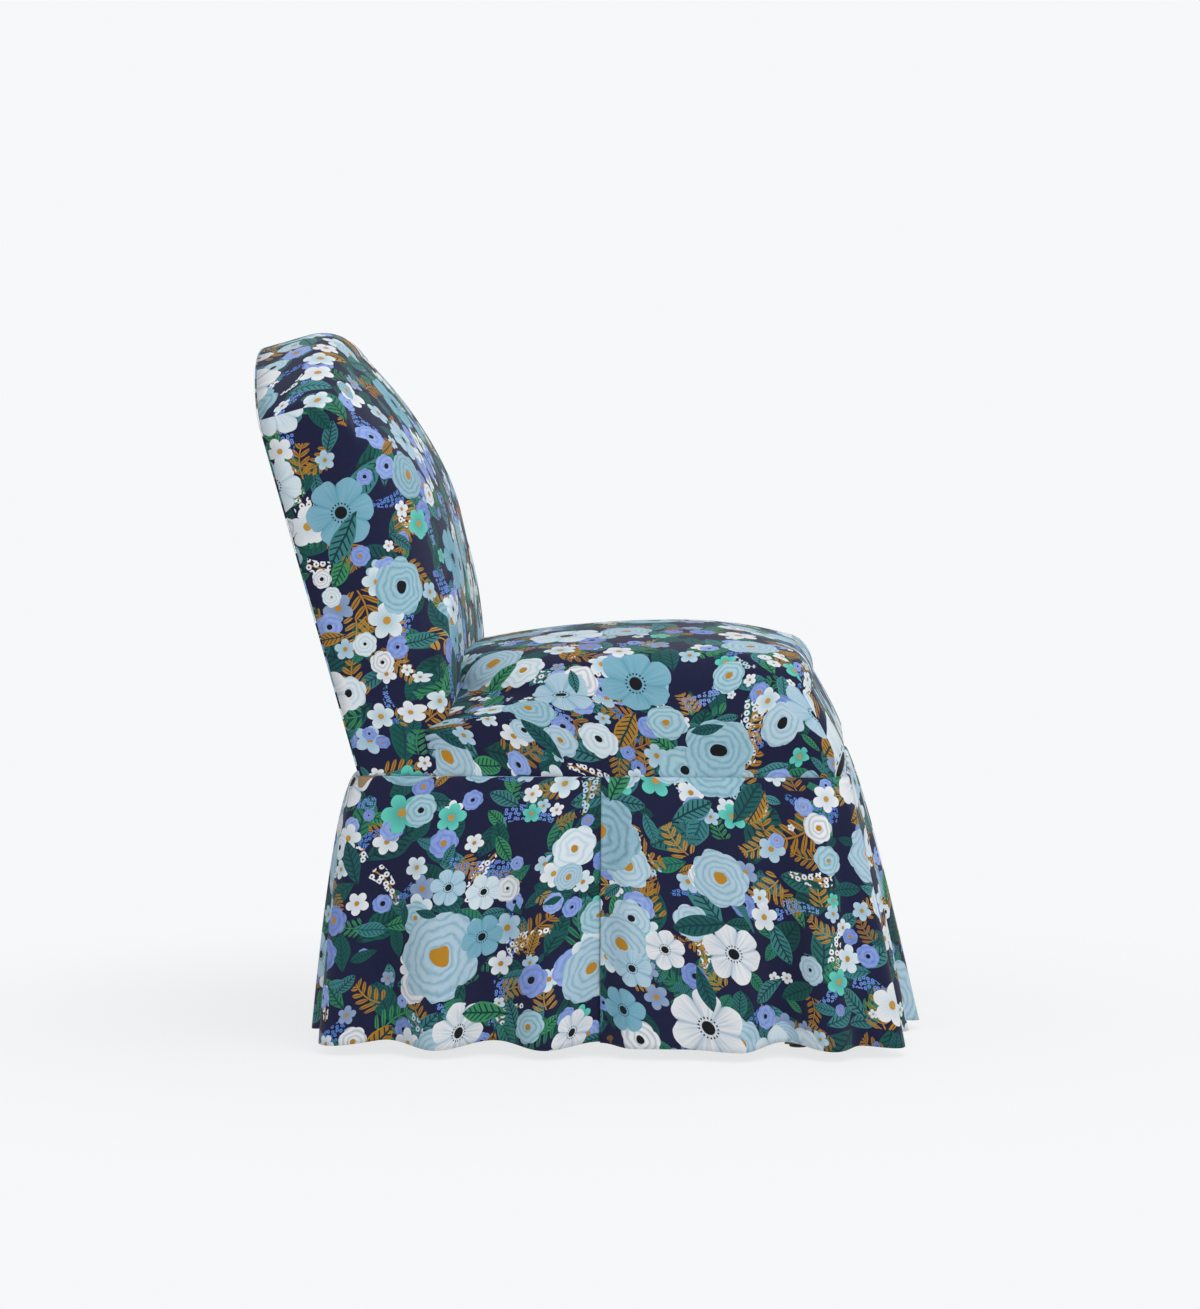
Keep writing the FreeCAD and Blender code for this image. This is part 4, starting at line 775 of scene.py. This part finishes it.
# Skirt lining: thin plain cotton behind the cloth, cut and gathered with it.
lining_cotton, tree, shader = material("plain_cotton_lining")
place = add(tree, "TexCoord").node.outputs["Object"]
slub = add(tree, "TexNoise", place, Scale=400.0, Detail=2.0)
tone = add(tree, "Mix", slub, linear("#B9B3A6"), linear("#A49D8F"), data_type="RGBA")
tree.links.new(tone, shader.inputs["Base Color"])
tree.links.new(add(tree, "Bump", Height=slub, Distance=0.0003), shader.inputs["Normal"])
shader.inputs["Roughness"].default_value = 0.9
LINING = 0.0007
LINING_GAP = 0.0001
for label in HANDS:
    # It starts a row above the hem and ends below the rows that turn in at the seam.
    points = skirt_width(label, CLOTH + LINING_GAP)[1:-6]
    chart = unrolled(points)
    whole = np.zeros((len(points) - 1, points.shape[1] - 1), bool)
    lining = piece("skirt_lining_" + label, points, chart, whole, False)
    lining.data.materials.append(lining_cotton)
    thicken(lining, LINING)
    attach(lining, "root")
    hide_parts("skirt_lining")


def dress(finish, *names):
    """Give these nodes of the frame a finish."""
    for name in names:
        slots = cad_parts[name].data.materials
        slots.clear()
        slots.append(finish)


# Hardwood frame: planed beech boards, glued, screwed and dowelled, left raw. Pale pinkish brown with
# short dark flecks along the grain.
beech, tree, shader = material("planed_beech")
place = add(tree, "TexCoord").node.outputs["Object"]
grain = add(tree, "TexNoise", add(tree, "VectorMath", place, (6.0, 40.0, 40.0), operation="MULTIPLY"),
            Scale=6.0, Detail=4.0, Distortion=0.4)
flecks = add(tree, "TexNoise", add(tree, "VectorMath", place, (60.0, 700.0, 700.0), operation="MULTIPLY"),
             Scale=2.0, Detail=1.0)
tone = add(tree, "Mix", grain, linear("#D2A679"), linear("#B98757"), data_type="RGBA")
fleck = add(tree, "MULTIPLY", add(tree, "GREATER_THAN", flecks, 0.62), 0.35)
tone = add(tree, "Mix", fleck, tone, linear("#8A5F3B"), data_type="RGBA")
tree.links.new(tone, shader.inputs["Base Color"])
tree.links.new(add(tree, "MULTIPLY_ADD", grain, 0.15, 0.50), shader.inputs["Roughness"])
tree.links.new(add(tree, "Bump", Height=grain, Distance=0.0004, Strength=0.4), shader.inputs["Normal"])
CORNERS = ["front_left", "front_right", "rear_left", "rear_right"]
dress(beech, "front_rail", "rear_rail", "left_rail", "right_rail", "left_back_post", "right_back_post",
      "lower_cross_rail", "middle_cross_rail", "top_rail", "top_rail_dowels",
      *[corner + "_corner_block" for corner in CORNERS], *[corner + "_leg" for corner in CORNERS])

# Fixings: zinc-plated steel bolts, screws and leg plates, bright with a mottled passivated bloom.
zinc, tree, shader = material("zinc_plated_steel")
place = add(tree, "TexCoord").node.outputs["Object"]
bloom = add(tree, "TexNoise", place, Scale=120.0, Detail=3.0)
tree.links.new(add(tree, "Mix", bloom, linear("#C9CBC8"), linear("#AEB0AA"), data_type="RGBA"),
               shader.inputs["Base Color"])
tree.links.new(add(tree, "MULTIPLY_ADD", bloom, 0.25, 0.25), shader.inputs["Roughness"])
shader.inputs["Metallic"].default_value = 1.0
dress(zinc, "post_bolts", "cross_rail_screws", "leg_hanger_bolts", "leg_plate_screws", "spring_clips",
      *[corner + "_leg_plate" for corner in CORNERS])

# Springs: drawn spring steel wire, oiled and dark, with fine draw lines round it.
spring_steel, tree, shader = material("oiled_spring_steel")
place = add(tree, "TexCoord").node.outputs["Object"]
scale = add(tree, "TexNoise", place, Scale=300.0, Detail=2.0)
tree.links.new(add(tree, "Mix", scale, linear("#6B6C6E"), linear("#4A4B4D"), data_type="RGBA"),
               shader.inputs["Base Color"])
tree.links.new(add(tree, "MULTIPLY_ADD", scale, 0.2, 0.35), shader.inputs["Roughness"])
shader.inputs["Metallic"].default_value = 1.0
dress(spring_steel, *["seat_spring_%d" % number for number in range(1, 6)])

# Glides: moulded black nylon discs nailed under the legs, satin, scuffed where they slide.
nylon, tree, shader = material("moulded_black_nylon")
place = add(tree, "TexCoord").node.outputs["Object"]
scuff = add(tree, "TexNoise", place, Scale=250.0, Detail=4.0)
tree.links.new(add(tree, "Mix", scuff, linear("#1C1C1E"), linear("#2E2E30"), data_type="RGBA"),
               shader.inputs["Base Color"])
tree.links.new(add(tree, "MULTIPLY_ADD", scuff, 0.25, 0.40), shader.inputs["Roughness"])
dress(nylon, *[corner + "_glide" for corner in CORNERS])


def woven(name, warp, weft, spacing, depth):
    """A coarse plain weave, drawn as crossing sines at its thread spacing in metres."""
    finish, tree, shader = material(name)
    place = add(tree, "TexCoord").node.outputs["Object"]
    wave = add(tree, "VectorMath", place, Scale=2 * math.pi / spacing, operation="SCALE")
    axis = add(tree, "SeparateXYZ", wave).node.outputs
    over = add(tree, "MULTIPLY", add(tree, "SINE", axis[0]), add(tree, "SINE", axis[2]))
    fray = add(tree, "TexNoise", place, Scale=500.0, Detail=2.0)
    mixed = add(tree, "MULTIPLY_ADD", over, 0.5, fray, use_clamp=True)
    tree.links.new(add(tree, "Mix", mixed, linear(warp), linear(weft), data_type="RGBA"),
                   shader.inputs["Base Color"])
    tree.links.new(add(tree, "Bump", Height=over, Distance=depth), shader.inputs["Normal"])
    shader.inputs["Roughness"].default_value = 0.95
    return finish


# Jute webbing and hessian: coarse brown bast fibre, the webbing tight and the hessian open.
dress(woven("jute_webbing", "#9C7B4F", "#7A5C38", 0.0030, 0.0005), "back_webbing_across", "back_webbing_up")
dress(woven("loose_hessian", "#A98C62", "#8A6E48", 0.0022, 0.0003), "back_hessian")


def fibrous(name, light, dark, scale, depth):
    """A matted or pressed fibre sheet: noise at the size of its tufts."""
    finish, tree, shader = material(name)
    place = add(tree, "TexCoord").node.outputs["Object"]
    tufts = add(tree, "TexNoise", place, Scale=scale, Detail=4.0)
    tree.links.new(add(tree, "Mix", tufts, linear(light), linear(dark), data_type="RGBA"),
                   shader.inputs["Base Color"])
    tree.links.new(add(tree, "Bump", Height=tufts, Distance=depth), shader.inputs["Normal"])
    shader.inputs["Roughness"].default_value = 0.95
    return finish


# Felt pad over the springs, black dust cloth under the box, and the card strip behind the seam.
dress(fibrous("needled_felt", "#6E6B68", "#4C4A48", 220.0, 0.0006), "seat_insulator")
dress(fibrous("nonwoven_dust_cloth", "#1B1B1C", "#0F0F10", 600.0, 0.0002), "dust_cover")
dress(fibrous("pressed_card", "#A48B68", "#8F7756", 350.0, 0.0001), "skirt_tack_strip")

# Studio: a white floor that keeps the chair's shadow, and soft lamps all round.
BACKDROP = "#F7F8F9"
floor_mesh = bpy.data.meshes.new("floor")
reach = 12.0
floor_mesh.from_pydata([(-reach, -reach, 0), (reach, -reach, 0), (reach, reach, 0), (-reach, reach, 0)], [],
                       [(0, 1, 2, 3)])
floor = bpy.data.objects.new("floor", floor_mesh)
bpy.context.scene.collection.objects.link(floor)
white_floor, tree, shader = material("white_studio_floor")
seen = add(tree, "LightPath").node.outputs
backdrop = add(tree, "Emission", linear(BACKDROP), 1.0)
away = add(tree, "VectorMath", add(tree, "TexCoord").node.outputs["Object"], operation="LENGTH")
plain_share = add(tree, "MapRange", away, 0.45, 1.1, 0.80, 1.0, interpolation_type="SMOOTHSTEP")
catcher = add(tree, "MixShader", plain_share, shader.outputs[0], backdrop)
shader.inputs["Base Color"].default_value = linear("#F2F3F4")
shader.inputs["Roughness"].default_value = 0.9
shown = add(tree, "MAXIMUM", seen["Is Camera Ray"], seen["Is Glossy Ray"])
tree.links.new(add(tree, "MixShader", shown, shader.outputs[0], catcher),
               tree.nodes["Material Output"].inputs["Surface"])
floor_mesh.materials.append(white_floor)

world = bpy.data.worlds.new("studio")
bpy.context.scene.world = world
world.use_nodes = True
sky = world.node_tree
seen = add(sky, "LightPath").node.outputs
shown = add(sky, "MAXIMUM", seen["Is Camera Ray"], seen["Is Glossy Ray"])
lit = sky.nodes["Background"]
lit.inputs["Color"].default_value = linear("#FFFFFF")
lit.inputs["Strength"].default_value = 0.42
plain = add(sky, "Background", linear(BACKDROP), 1.0)
sky.links.new(add(sky, "MixShader", shown, lit.outputs[0], plain),
              sky.nodes["World Output"].inputs["Surface"])


def lamp(name, place, power, size):
    """A square soft lamp that faces the chair."""
    data = bpy.data.lights.new(name, "AREA")
    data.energy = power
    data.size = size
    made = bpy.data.objects.new(name, data)
    bpy.context.scene.collection.objects.link(made)
    made.location = place
    made.rotation_euler = (AIM - made.location).to_track_quat("-Z", "Y").to_euler()


lamp("overhead", Vector((-0.8, -0.6, 3.0)), 34.0, 2.4)
lamp("near_side", Vector((-3.0, -1.6, 1.8)), 32.0, 2.0)
lamp("far_side", Vector((2.6, -1.8, 1.6)), 16.0, 2.0)
lamp("behind", Vector((0.6, 3.0, 1.8)), 12.0, 2.0)

bpy.context.scene.view_settings.view_transform = "Standard"
